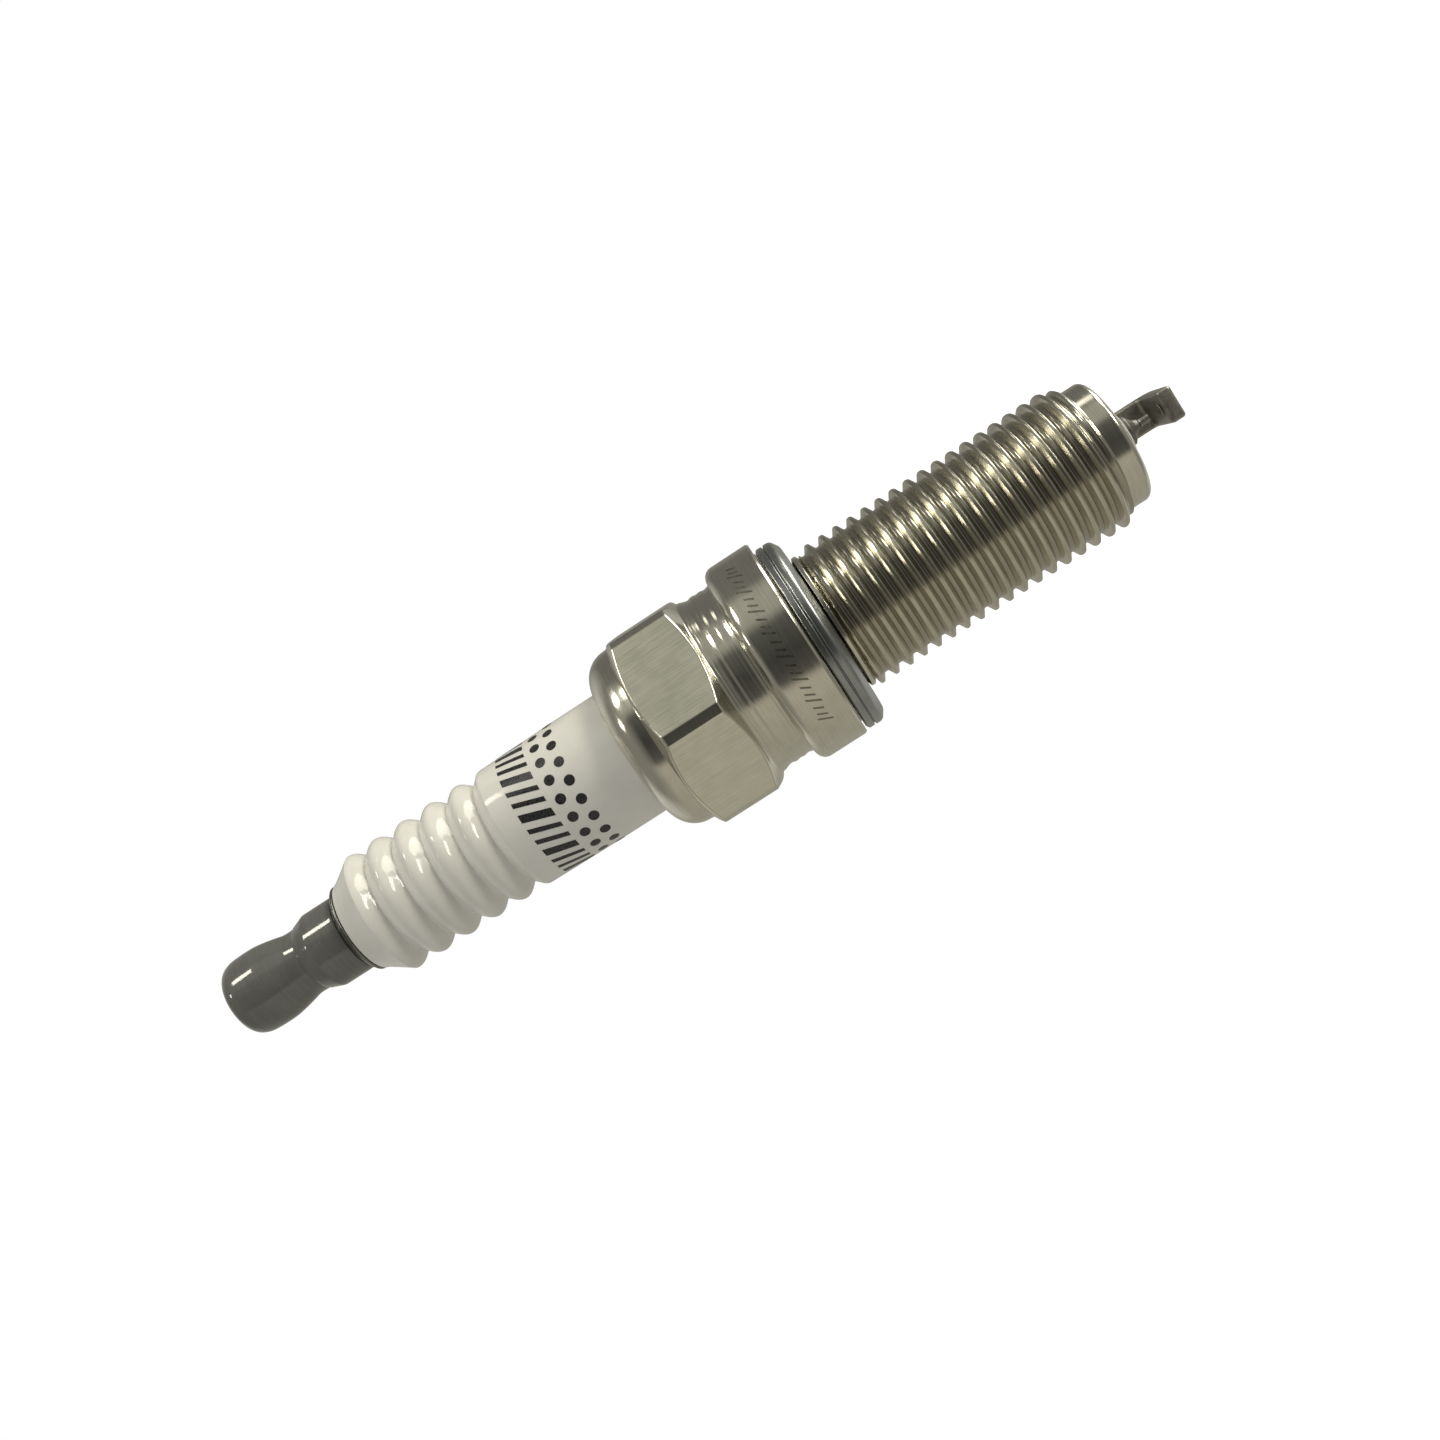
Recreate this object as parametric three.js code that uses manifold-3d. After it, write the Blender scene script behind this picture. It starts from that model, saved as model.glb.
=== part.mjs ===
// Motorcycle spark plug: M12 x 1.25 long-reach thread, 16 mm hexagon, fine-wire firing end.
// Frame: millimetres, +Z up along the plug's axis towards the terminal, and the origin on the axis
// in the sealing face of the gasket. The firing end points down, as the plug sits in a cylinder head.
// The front of the plug is -Y, and the ground electrode's leg stands at the back.

import * as THREE from 'three';
import { mergeVertices } from 'three/addons/utils/BufferGeometryUtils.js';
import Module from 'manifold-3d';

// ---------------------------------------------------------------- driving dimensions (mm)

const SEGMENTS = 24; // facets round every turned piece, so that coaxial faces stay parallel
const FIT = 0.04; // radial clearance between pieces that are pressed or sealed together
const SEAM = 0.05; // axial clearance between stacked pieces

// thread
const THREAD_PITCH = 1.25;
const THREAD_CREST_R = 5.93;
const THREAD_ROOT_R = 5.22;
const THREAD_CREST_FLAT = 0.18;
const THREAD_ROOT_FLAT = 0.2;
const THREAD_TOP_Z = -0.3;
const THREAD_END_Z = -23.1;
const THREAD_RUNOUT = 0.9;

// shell
const RIM_Z = -24.95;
const PLAIN_END_R = 5.03;
const RIM_ROUND = 0.45;
const RELIEF_R = 5.15;
const FLANGE_R = 8.4;
const FLANGE_LOW_Z = 1.95;
const FLANGE_HIGH_Z = 6.05;
const FLANGE_ROUND = 0.85;
const NECK_R = 7.3;
const BEAD_R = 7.42;
const HEX_ACROSS_FLATS = 15.7;
const HEX_CORNER_R = 8.85;
const HEX_LOW_Z = 8.95;
const HEX_HIGH_Z = 15.05;
const HEX_CHAMFER_R = 7.6;
const HEX_CHAMFER_ANGLE = 30;
const HEX_ANGLE = -95; // direction of one hexagon corner, degrees from +X
const CRIMP_R = 7.53;
const CRIMP_TOP_Z = 17.7;
const CRIMP_ROLL = 2.25;
const CRIMP_MOUTH_R = CRIMP_R - CRIMP_ROLL;
const CRIMP_INNER_ROLL = 0.7;

// shell bores
const BODY_BORE_R = 6.35;
const BODY_BORE_LOW_Z = 4.0;
const BODY_CONE_HEIGHT = 1.4;
const THREAD_BORE_R = 4.2;
const SEAT_BORE_R = 3.4;
const SEAT_HIGH_Z = -11.4;
const SEAT_LOW_Z = -12.4;
const SEAT_BOTTOM_Z = -14.2;
const CHAMBER_R = 3.85;

// insulator
const INSULATOR_TOP_Z = 42.9;
const INSULATOR_TOP_R = 3.8;
const RIB_TOP_Z = 40.6;
const RIB_PITCH = 2.45;
const RIB_COUNT = 5;
const RIB_CREST_R = 5.05;
const RIB_VALLEY_R = 4.55;
const BARREL_R = 5.18;
const SHOULDER_R = 6.15;
const SHOULDER_HIGH_Z = 11.9;
const SHOULDER_LOW_Z = 4.5;
const NOSE_TIP_Z = -25.75;
const NOSE_TIP_R = 1.95;
const UPPER_BORE_R = 1.9;
const BORE_STEP_Z = -9.0;
const LOWER_BORE_R = 1.24;

// packings round the insulator
const UPPER_RING_Z = 16.15;
const LOWER_RING_Z = 12.75;
const RING_WIRE_R = 0.48;
const SEAT_PACKING_THICKNESS = 0.35;

// terminal
const STUD_COLLAR_R = 3.75;
const STUD_COLLAR_HIGH_Z = 43.5;
const STUD_THREAD_R = 1.98;
const STUD_TOP_Z = 50.2;
const STUD_ROD_R = 1.55;
const STUD_KNURL_LOW_Z = 8.0;
const NUT_LOW_Z = 43.55;
const NUT_TOP_Z = 54.4;
const NUT_HEAD_R = 3.18;
const NUT_WAIST_R = 2.65;
const NUT_SHOULDER_Z = 46.4; // top of the cylinder below the waist
const NUT_WAIST_LOW_Z = 47.5;
const NUT_WAIST_HIGH_Z = 49.0;
const NUT_HEAD_LOW_Z = 51.4;
const NUT_BORE_R = 2.05;

// core column
const LOWER_SEAL_HIGH_Z = -4.4;
const RESISTOR_HIGH_Z = 4.0;
const RESISTOR_R = UPPER_BORE_R - FIT;
const UPPER_SEAL_HIGH_Z = 9.6;
const ELECTRODE_R = LOWER_BORE_R - FIT;
const ELECTRODE_HEAD_R = 1.8;
const ELECTRODE_HEAD_HIGH_Z = -7.2;
const ELECTRODE_TIP_Z = -27.0;
const COPPER_R = 0.7;
const COPPER_LOW_Z = -23.0;
const TIP_WIRE_R = 0.3;
const TIP_WIRE_Z = -27.9;

// ground electrode
const STRAP_WIDTH = 2.6;
const STRAP_THICKNESS = 1.15;
const STRAP_LEG_R = 4.4; // radius of the leg's middle
const STRAP_LOW_Z = -30.1;
const STRAP_REACH = 1.05; // how far the arm passes the plug's axis
const STRAP_ANGLE = 85; // direction of the leg, degrees from +X
const PAD_R = 0.5;
const PAD_THICKNESS = 0.15;

// gasket
const GASKET_OUTER_R = 7.95;
const GASKET_INNER_R = 5.75;
const GASKET_LOW_Z = 0;
const GASKET_HIGH_Z = 1.85;
const GASKET_FOLD_Z = 1.15; // the groove between its two folds
const GASKET_OFFSET_X = -0.3; // the loose gasket hangs a little off the axis

// ---------------------------------------------------------------- helpers

const wasm = await Module();
wasm.setup();

const DEGREE = Math.PI / 180;

// A turned solid about Z from [radius, height] points, given upwards along the outside.
function turned(points, segments = SEGMENTS) {
  const profile = points.map(([r, z]) => new THREE.Vector2(r, z));
  const geometry = new THREE.LatheGeometry(profile, segments);
  geometry.rotateX(Math.PI / 2);
  return cleaned(geometry);
}

// Leaves only shared vertices and real triangles.
function cleaned(geometry) {
  const bare = geometry.clone();
  bare.deleteAttribute('normal');
  bare.deleteAttribute('uv');
  const merged = mergeVertices(bare, 1e-5);
  const index = merged.index.array;
  const kept = [];
  for (let i = 0; i < index.length; i += 3) {
    const [a, b, c] = [index[i], index[i + 1], index[i + 2]];
    if (a !== b && b !== c && c !== a) kept.push(a, b, c);
  }
  merged.setIndex(kept);
  return merged;
}

function toSolid(geometry) {
  const bare = cleaned(geometry);
  return new wasm.Manifold(new wasm.Mesh({
    numProp: 3,
    vertProperties: new Float32Array(bare.attributes.position.array),
    triVerts: new Uint32Array(bare.index.array),
  }));
}

function toGeometry(solid) {
  const mesh = solid.getMesh();
  const geometry = new THREE.BufferGeometry();
  geometry.setAttribute('position', new THREE.BufferAttribute(mesh.vertProperties, 3));
  geometry.setIndex(new THREE.BufferAttribute(mesh.triVerts, 1));
  return geometry;
}

// Points of a round stretch in a turned outline, from one angle to another, without its first point.
function arc(centreR, centreZ, radius, fromDegrees, toDegrees, steps) {
  const points = [];
  for (let i = 1; i <= steps; i += 1) {
    const angle = (fromDegrees + ((toDegrees - fromDegrees) * i) / steps) * DEGREE;
    points.push([centreR + radius * Math.cos(angle), centreZ + radius * Math.sin(angle)]);
  }
  return points;
}

// A cylinder with a right-hand helical thread that fades out at both ends.
function threadedRod() {
  const flank = (THREAD_PITCH - THREAD_CREST_FLAT - THREAD_ROOT_FLAT) / 2;
  const corners = [
    { offset: 0, crest: 0 },
    { offset: flank, crest: 1 },
    { offset: flank + THREAD_CREST_FLAT, crest: 1 },
    { offset: 2 * flank + THREAD_CREST_FLAT, crest: 0 },
  ];
  const turns = Math.ceil((THREAD_TOP_Z - THREAD_END_Z) / THREAD_PITCH) + 1;
  const rows = corners.length * (turns + 1);
  const clamp = THREE.MathUtils.clamp;

  function vertex(column, row) {
    const corner = corners[row % corners.length];
    const turn = Math.floor(row / corners.length) + column / SEGMENTS - 1;
    const z = clamp(THREAD_END_Z + THREAD_PITCH * turn + corner.offset, THREAD_END_Z, THREAD_TOP_Z);
    const fade = clamp(Math.min(z - THREAD_END_Z, THREAD_TOP_Z - z) / THREAD_RUNOUT, 0, 1);
    const r = THREAD_ROOT_R + (THREAD_CREST_R - THREAD_ROOT_R) * corner.crest * fade;
    const angle = (2 * Math.PI * column) / SEGMENTS;
    return [r * Math.cos(angle), r * Math.sin(angle), z];
  }

  const positions = [];
  const index = [];
  function addTriangle(...corners3) {
    for (const point of corners3) {
      index.push(positions.length / 3);
      positions.push(...point);
    }
  }

  // The last column is the first one again, one turn further up.
  const columnPoint = (column, row) => {
    const wraps = column === SEGMENTS;
    return vertex(wraps ? 0 : column, wraps ? row + corners.length : row);
  };
  for (let column = 0; column < SEGMENTS; column += 1) {
    for (let row = 0; row < rows; row += 1) {
      const a = columnPoint(column, row);
      const b = columnPoint(column + 1, row);
      const c = columnPoint(column + 1, row + 1);
      const d = columnPoint(column, row + 1);
      addTriangle(a, b, c);
      addTriangle(a, c, d);
    }
    addTriangle([0, 0, THREAD_END_Z], columnPoint(column + 1, 0), columnPoint(column, 0));
    addTriangle([0, 0, THREAD_TOP_Z], columnPoint(column, rows), columnPoint(column + 1, rows));
  }
  const geometry = new THREE.BufferGeometry();
  geometry.setAttribute('position', new THREE.BufferAttribute(new Float32Array(positions), 3));
  geometry.setIndex(index);
  return geometry;
}

// ---------------------------------------------------------------- shell

function hexagonBlock() {
  const cornerRadius = HEX_ACROSS_FLATS / 2 / Math.cos(30 * DEGREE);
  const height = HEX_HIGH_Z - HEX_LOW_Z;
  const prism = new THREE.CylinderGeometry(cornerRadius, cornerRadius, height, 6);
  prism.rotateX(Math.PI / 2);
  prism.rotateZ(HEX_ANGLE * DEGREE - Math.PI / 2);
  prism.translate(0, 0, (HEX_LOW_Z + HEX_HIGH_Z) / 2);
  const chamferRise = (HEX_CORNER_R - HEX_CHAMFER_R) * Math.tan(HEX_CHAMFER_ANGLE * DEGREE);
  const barrel = turned([
    [0, HEX_LOW_Z],
    [HEX_CHAMFER_R, HEX_LOW_Z],
    [HEX_CORNER_R, HEX_LOW_Z + chamferRise],
    [HEX_CORNER_R, HEX_HIGH_Z - chamferRise],
    [HEX_CHAMFER_R, HEX_HIGH_Z],
    [0, HEX_HIGH_Z],
  ], 2 * SEGMENTS);
  return toSolid(prism).intersect(toSolid(barrel));
}

function shellOutline() {
  const rimCorner = PLAIN_END_R - RIM_ROUND;
  const flangeTop = FLANGE_HIGH_Z - FLANGE_ROUND;
  return turned([
    [0, RIM_Z],
    [rimCorner, RIM_Z],
    ...arc(rimCorner, RIM_Z + RIM_ROUND, RIM_ROUND, -90, 0, 3),
    [PLAIN_END_R, THREAD_END_Z],
    [RELIEF_R, THREAD_END_Z],
    [RELIEF_R, FLANGE_LOW_Z],
    [FLANGE_R, FLANGE_LOW_Z],
    [FLANGE_R, flangeTop],
    ...arc(FLANGE_R - FLANGE_ROUND, flangeTop, FLANGE_ROUND, 0, 90, 3),
    [NECK_R, FLANGE_HIGH_Z + 0.2],
    [BEAD_R, FLANGE_HIGH_Z + 0.9],
    [BEAD_R, FLANGE_HIGH_Z + 1.3],
    [NECK_R, FLANGE_HIGH_Z + 2],
    [CRIMP_R, HEX_LOW_Z - 0.25],
    [CRIMP_R, CRIMP_TOP_Z - CRIMP_ROLL],
    ...arc(CRIMP_MOUTH_R, CRIMP_TOP_Z - CRIMP_ROLL, CRIMP_ROLL, 0, 90, 5),
    [0, CRIMP_TOP_Z],
  ]);
}

function shellBore() {
  return turned([
    [0, RIM_Z - 1],
    [CHAMBER_R, RIM_Z - 1],
    [CHAMBER_R, SEAT_BOTTOM_Z - 1],
    [SEAT_BORE_R, SEAT_BOTTOM_Z],
    [SEAT_BORE_R, SEAT_LOW_Z],
    [THREAD_BORE_R, SEAT_HIGH_Z],
    [THREAD_BORE_R, BODY_BORE_LOW_Z - BODY_CONE_HEIGHT],
    [BODY_BORE_R, BODY_BORE_LOW_Z],
    [BODY_BORE_R, UPPER_RING_Z],
    ...arc(BODY_BORE_R - CRIMP_INNER_ROLL, UPPER_RING_Z, CRIMP_INNER_ROLL, 0, 90, 3),
    [CRIMP_MOUTH_R, UPPER_RING_Z + CRIMP_INNER_ROLL],
    [CRIMP_MOUTH_R, CRIMP_TOP_Z + 1],
    [0, CRIMP_TOP_Z + 1],
  ]);
}

function metalShell() {
  const solid = toSolid(shellOutline())
    .add(toSolid(threadedRod()))
    .add(hexagonBlock())
    .subtract(toSolid(shellBore()));
  return toGeometry(solid);
}

// A folded washer: a crowned fold on the sealing side and a thinner one against the flange.
function crushGasket() {
  const crown = 0.95;
  const lip = (GASKET_HIGH_Z - GASKET_FOLD_Z) / 2;
  const innerLip = 0.4;
  const sealingR = GASKET_OUTER_R - crown;
  const upperR = GASKET_OUTER_R - lip;
  const inner = GASKET_INNER_R + innerLip;
  return turned([
    [inner, GASKET_LOW_Z],
    [sealingR, GASKET_LOW_Z],
    ...arc(sealingR, GASKET_LOW_Z + crown, crown, -90, 0, 4),
    [GASKET_OUTER_R - 0.22, GASKET_FOLD_Z],
    ...arc(upperR, GASKET_HIGH_Z - lip, lip, -60, 90, 4),
    [inner, GASKET_HIGH_Z],
    [GASKET_INNER_R, GASKET_HIGH_Z - innerLip],
    [GASKET_INNER_R, GASKET_LOW_Z + innerLip],
    [inner, GASKET_LOW_Z],
  ]);
}

// ---------------------------------------------------------------- insulator and its packings

function insulatorRibs() {
  const points = [];
  const stepsPerRib = 6;
  const lowestCrest = RIB_TOP_Z - (RIB_COUNT - 1) * RIB_PITCH;
  const middleR = (RIB_CREST_R + RIB_VALLEY_R) / 2;
  const waveR = (RIB_CREST_R - RIB_VALLEY_R) / 2;
  const steps = stepsPerRib * RIB_COUNT - stepsPerRib / 2;
  for (let i = 0; i <= steps; i += 1) {
    const turns = i / stepsPerRib - 0.5;
    const z = lowestCrest + turns * RIB_PITCH;
    points.push([middleR + waveR * Math.cos(2 * Math.PI * turns), z]);
  }
  return points;
}

function insulator() {
  const noseTopR = SEAT_BORE_R - 0.25;
  const topRound = 0.3;
  return turned([
    [LOWER_BORE_R, NOSE_TIP_Z],
    [NOSE_TIP_R - 0.2, NOSE_TIP_Z],
    [NOSE_TIP_R, NOSE_TIP_Z + 0.2],
    [noseTopR, SEAT_LOW_Z - 0.4],
    [noseTopR, SEAT_LOW_Z + SEAT_PACKING_THICKNESS + SEAM],
    [THREAD_BORE_R - 0.1, SEAT_HIGH_Z + SEAT_PACKING_THICKNESS + SEAM],
    [THREAD_BORE_R - 0.1, SHOULDER_LOW_Z - BODY_CONE_HEIGHT],
    [SHOULDER_R, SHOULDER_LOW_Z],
    [SHOULDER_R, SHOULDER_HIGH_Z - 0.5],
    [SHOULDER_R - 0.5, SHOULDER_HIGH_Z],
    [BARREL_R, SHOULDER_HIGH_Z + 0.3],
    [BARREL_R, RIB_TOP_Z - RIB_COUNT * RIB_PITCH],
    ...insulatorRibs(),
    [INSULATOR_TOP_R, INSULATOR_TOP_Z - topRound],
    [INSULATOR_TOP_R - topRound, INSULATOR_TOP_Z],
    [UPPER_BORE_R, INSULATOR_TOP_Z],
    [UPPER_BORE_R, BORE_STEP_Z],
    [LOWER_BORE_R, BORE_STEP_Z - 0.5],
  ].concat([[LOWER_BORE_R, NOSE_TIP_Z]]));
}

// A closed wire ring that lies between the insulator's barrel and the shell's bore.
function packingRing(centreZ) {
  const centreR = (BARREL_R + BODY_BORE_R) / 2;
  const start = [centreR + RING_WIRE_R, centreZ];
  return turned([start, ...arc(centreR, centreZ, RING_WIRE_R, 0, 350, 8).slice(0, 7), start]);
}

function talcPacking() {
  const low = LOWER_RING_Z + RING_WIRE_R + SEAM;
  const high = UPPER_RING_Z - RING_WIRE_R - SEAM;
  return annulus(BARREL_R + FIT, BODY_BORE_R - FIT, low, high);
}

function annulus(innerR, outerR, lowZ, highZ) {
  return turned([
    [innerR, lowZ],
    [outerR, lowZ],
    [outerR, highZ],
    [innerR, highZ],
    [innerR, lowZ],
  ]);
}

// A thin sheet ring on the shell's conical seat.
function seatPacking() {
  const slope = (SEAT_HIGH_Z - SEAT_LOW_Z) / (THREAD_BORE_R - SEAT_BORE_R);
  const innerR = SEAT_BORE_R + FIT;
  const outerR = THREAD_BORE_R - FIT;
  const seatZ = (r) => SEAT_LOW_Z + slope * (r - SEAT_BORE_R) + SEAM;
  const sheet = SEAT_PACKING_THICKNESS - 2 * SEAM;
  return turned([
    [innerR, seatZ(innerR)],
    [outerR, seatZ(outerR)],
    [outerR, seatZ(outerR) + sheet],
    [innerR, seatZ(innerR) + sheet],
    [innerR, seatZ(innerR)],
  ]);
}

// ---------------------------------------------------------------- terminal

function terminalStud() {
  const collarRound = 0.15;
  const collarLow = INSULATOR_TOP_Z + SEAM;
  return turned([
    [0, STUD_KNURL_LOW_Z],
    [STUD_ROD_R - 0.25, STUD_KNURL_LOW_Z],
    [STUD_ROD_R, STUD_KNURL_LOW_Z + 0.3],
    [STUD_ROD_R, collarLow - 2],
    [UPPER_BORE_R - FIT, collarLow - 1.8],
    [UPPER_BORE_R - FIT, collarLow],
    [STUD_COLLAR_R - collarRound, collarLow],
    [STUD_COLLAR_R, collarLow + collarRound],
    [STUD_COLLAR_R - 0.1, STUD_COLLAR_HIGH_Z - collarRound],
    [STUD_COLLAR_R - 0.4, STUD_COLLAR_HIGH_Z],
    [STUD_THREAD_R, STUD_COLLAR_HIGH_Z],
    [STUD_THREAD_R, STUD_TOP_Z - 0.5],
    [STUD_THREAD_R - 0.5, STUD_TOP_Z],
    [0, STUD_TOP_Z],
  ]);
}

// Barrel head, waist, shoulder and cylinder of the screw-on nut, open below.
function terminalNut() {
  const crownRound = 1.5;
  const crownR = NUT_HEAD_R - crownRound - 0.08;
  const boreTop = STUD_TOP_Z + 0.9;
  return turned([
    [NUT_BORE_R, NUT_LOW_Z],
    [NUT_HEAD_R - 0.05, NUT_LOW_Z],
    [NUT_HEAD_R, NUT_LOW_Z + 0.15],
    [NUT_HEAD_R, NUT_SHOULDER_Z],
    [NUT_WAIST_R + 0.12, NUT_WAIST_LOW_Z - 0.1],
    [NUT_WAIST_R, NUT_WAIST_LOW_Z],
    [NUT_WAIST_R, NUT_WAIST_HIGH_Z],
    [NUT_WAIST_R + 0.15, NUT_WAIST_HIGH_Z + 0.6],
    [NUT_HEAD_R - 0.1, NUT_HEAD_LOW_Z - 1],
    [NUT_HEAD_R, NUT_HEAD_LOW_Z],
    [NUT_HEAD_R - 0.08, NUT_TOP_Z - crownRound],
    ...arc(crownR, NUT_TOP_Z - crownRound, crownRound, 0, 90, 5),
    [0, NUT_TOP_Z],
    [0, boreTop],
    [NUT_BORE_R - 0.6, boreTop],
    [NUT_BORE_R, boreTop - 0.4],
    [NUT_BORE_R, NUT_LOW_Z],
  ]);
}

// ---------------------------------------------------------------- core column

// Conductive glass that fills the bore and cups round the stud's knurled end.
function upperGlassSeal() {
  const cupR = STUD_ROD_R + FIT;
  const floorZ = STUD_KNURL_LOW_Z - SEAM;
  return turned([
    [0, RESISTOR_HIGH_Z + SEAM],
    [RESISTOR_R, RESISTOR_HIGH_Z + SEAM],
    [RESISTOR_R, UPPER_SEAL_HIGH_Z],
    [cupR, UPPER_SEAL_HIGH_Z],
    [cupR, floorZ],
    [0, floorZ],
  ]);
}

function resistor() {
  return turned([
    [0, LOWER_SEAL_HIGH_Z + SEAM],
    [RESISTOR_R, LOWER_SEAL_HIGH_Z + SEAM],
    [RESISTOR_R, RESISTOR_HIGH_Z],
    [0, RESISTOR_HIGH_Z],
  ]);
}

function lowerGlassSeal() {
  return turned([
    [0, ELECTRODE_HEAD_HIGH_Z + SEAM],
    [RESISTOR_R, ELECTRODE_HEAD_HIGH_Z + SEAM],
    [RESISTOR_R, LOWER_SEAL_HIGH_Z],
    [0, LOWER_SEAL_HIGH_Z],
  ]);
}

// Nickel-alloy jacket: head on the bore's step, shank, tapered end, and a blind bore for the core.
function centreElectrode() {
  const seatZ = BORE_STEP_Z + SEAM;
  const taper = 0.55;
  return turned([
    [0, ELECTRODE_TIP_Z],
    [TIP_WIRE_R + 0.15, ELECTRODE_TIP_Z],
    [ELECTRODE_R, ELECTRODE_TIP_Z + taper],
    [ELECTRODE_R, seatZ - 0.5],
    [ELECTRODE_HEAD_R, seatZ],
    [ELECTRODE_HEAD_R, ELECTRODE_HEAD_HIGH_Z],
    [COPPER_R + FIT, ELECTRODE_HEAD_HIGH_Z],
    [COPPER_R + FIT, COPPER_LOW_Z],
    [0, COPPER_LOW_Z],
  ]);
}

function copperCore() {
  return turned([
    [0, COPPER_LOW_Z + SEAM],
    [COPPER_R, COPPER_LOW_Z + SEAM],
    [COPPER_R, ELECTRODE_HEAD_HIGH_Z],
    [0, ELECTRODE_HEAD_HIGH_Z],
  ]);
}

function iridiumTip() {
  return turned([
    [0, TIP_WIRE_Z],
    [TIP_WIRE_R, TIP_WIRE_Z],
    [TIP_WIRE_R, ELECTRODE_TIP_Z - SEAM],
    [0, ELECTRODE_TIP_Z - SEAM],
  ], 12);
}

// ---------------------------------------------------------------- ground electrode

// A flat strap: a leg up to the rim and an arm under the tip, joined by a round bend.
function groundElectrode() {
  const half = STRAP_THICKNESS / 2;
  const bendR = 1.0;
  const legTop = RIM_Z - SEAM;
  const armMiddle = STRAP_LOW_Z + half;
  const outline = new THREE.Shape();
  outline.moveTo(STRAP_LEG_R - half, legTop);
  outline.lineTo(STRAP_LEG_R - half, armMiddle + bendR);
  outline.absarc(STRAP_LEG_R - bendR, armMiddle + bendR, bendR - half, 0, -Math.PI / 2, true);
  outline.lineTo(-STRAP_REACH, armMiddle + half);
  outline.lineTo(-STRAP_REACH, armMiddle - half);
  outline.lineTo(STRAP_LEG_R - bendR, armMiddle - half);
  outline.absarc(STRAP_LEG_R - bendR, armMiddle + bendR, bendR + half, -Math.PI / 2, 0, false);
  outline.lineTo(STRAP_LEG_R + half, legTop);
  outline.closePath();
  const strap = new THREE.ExtrudeGeometry(outline, {
    depth: STRAP_WIDTH,
    bevelEnabled: false,
    curveSegments: 5,
  });
  strap.translate(0, 0, -STRAP_WIDTH / 2);
  strap.rotateX(Math.PI / 2);
  strap.rotateZ(STRAP_ANGLE * DEGREE);
  return cleaned(strap);
}

function groundPad() {
  const strapTop = STRAP_LOW_Z + STRAP_THICKNESS;
  return turned([
    [0, strapTop + SEAM],
    [PAD_R, strapTop + SEAM],
    [PAD_R, strapTop + PAD_THICKNESS],
    [0, strapTop + PAD_THICKNESS],
  ], 12);
}

// ---------------------------------------------------------------- assembly

const NICKEL_PLATE = { color: 0xb4b2a2, roughness: 0.22, metalness: 1 };
const BLUED_STEEL = { color: 0x9aa0a3, roughness: 0.3, metalness: 1 };
const DARK_NICKEL = { color: 0x55534e, roughness: 0.42, metalness: 1 };
const BLACK_GLOSS = { color: 0x45453f, roughness: 0.18, metalness: 0.6 };
const STEEL_ROD = { color: 0x8d8c86, roughness: 0.35, metalness: 1 };
const GLAZE = { color: 0xf0eee6, roughness: 0.12, metalness: 0 };
const TALC = { color: 0xe9e6dc, roughness: 0.9, metalness: 0 };
const GLASS_SEAL = { color: 0x4a4642, roughness: 0.4, metalness: 0.3 };
const CARBON = { color: 0x2b2a29, roughness: 0.8, metalness: 0 };
const COPPER = { color: 0xb87345, roughness: 0.35, metalness: 1 };
const IRIDIUM = { color: 0xd4d3cf, roughness: 0.25, metalness: 1 };

const plug = new THREE.Group();

function addPiece(name, geometry, finish) {
  const mesh = new THREE.Mesh(geometry, new THREE.MeshStandardMaterial(finish));
  mesh.name = name;
  plug.add(mesh);
  return mesh;
}

addPiece('metal_shell', metalShell(), NICKEL_PLATE);
addPiece('crush_gasket', crushGasket(), BLUED_STEEL).position.x = GASKET_OFFSET_X;
addPiece('insulator', insulator(), GLAZE);
addPiece('upper_packing_ring', packingRing(UPPER_RING_Z), STEEL_ROD);
addPiece('talc_packing', talcPacking(), TALC);
addPiece('lower_packing_ring', packingRing(LOWER_RING_Z), STEEL_ROD);
addPiece('seat_packing', seatPacking(), STEEL_ROD);
addPiece('terminal_stud', terminalStud(), STEEL_ROD);
addPiece('terminal_nut', terminalNut(), BLACK_GLOSS);
addPiece('upper_glass_seal', upperGlassSeal(), GLASS_SEAL);
addPiece('resistor', resistor(), CARBON);
addPiece('lower_glass_seal', lowerGlassSeal(), GLASS_SEAL);
addPiece('centre_electrode', centreElectrode(), DARK_NICKEL);
addPiece('copper_core', copperCore(), COPPER);
addPiece('iridium_tip', iridiumTip(), IRIDIUM);
addPiece('ground_electrode', groundElectrode(), DARK_NICKEL);
addPiece('ground_pad', groundPad(), IRIDIUM);

export default plug;
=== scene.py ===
"""The looks of a motorcycle spark plug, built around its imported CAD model.

The plug's axis is Z with the terminal up, the gasket's sealing face is at z = 0, and its front is -Y.
Every length is in metres; MM turns millimetres into metres.
"""

import math

import bmesh
import bpy
from mathutils import Matrix, Vector


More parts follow.
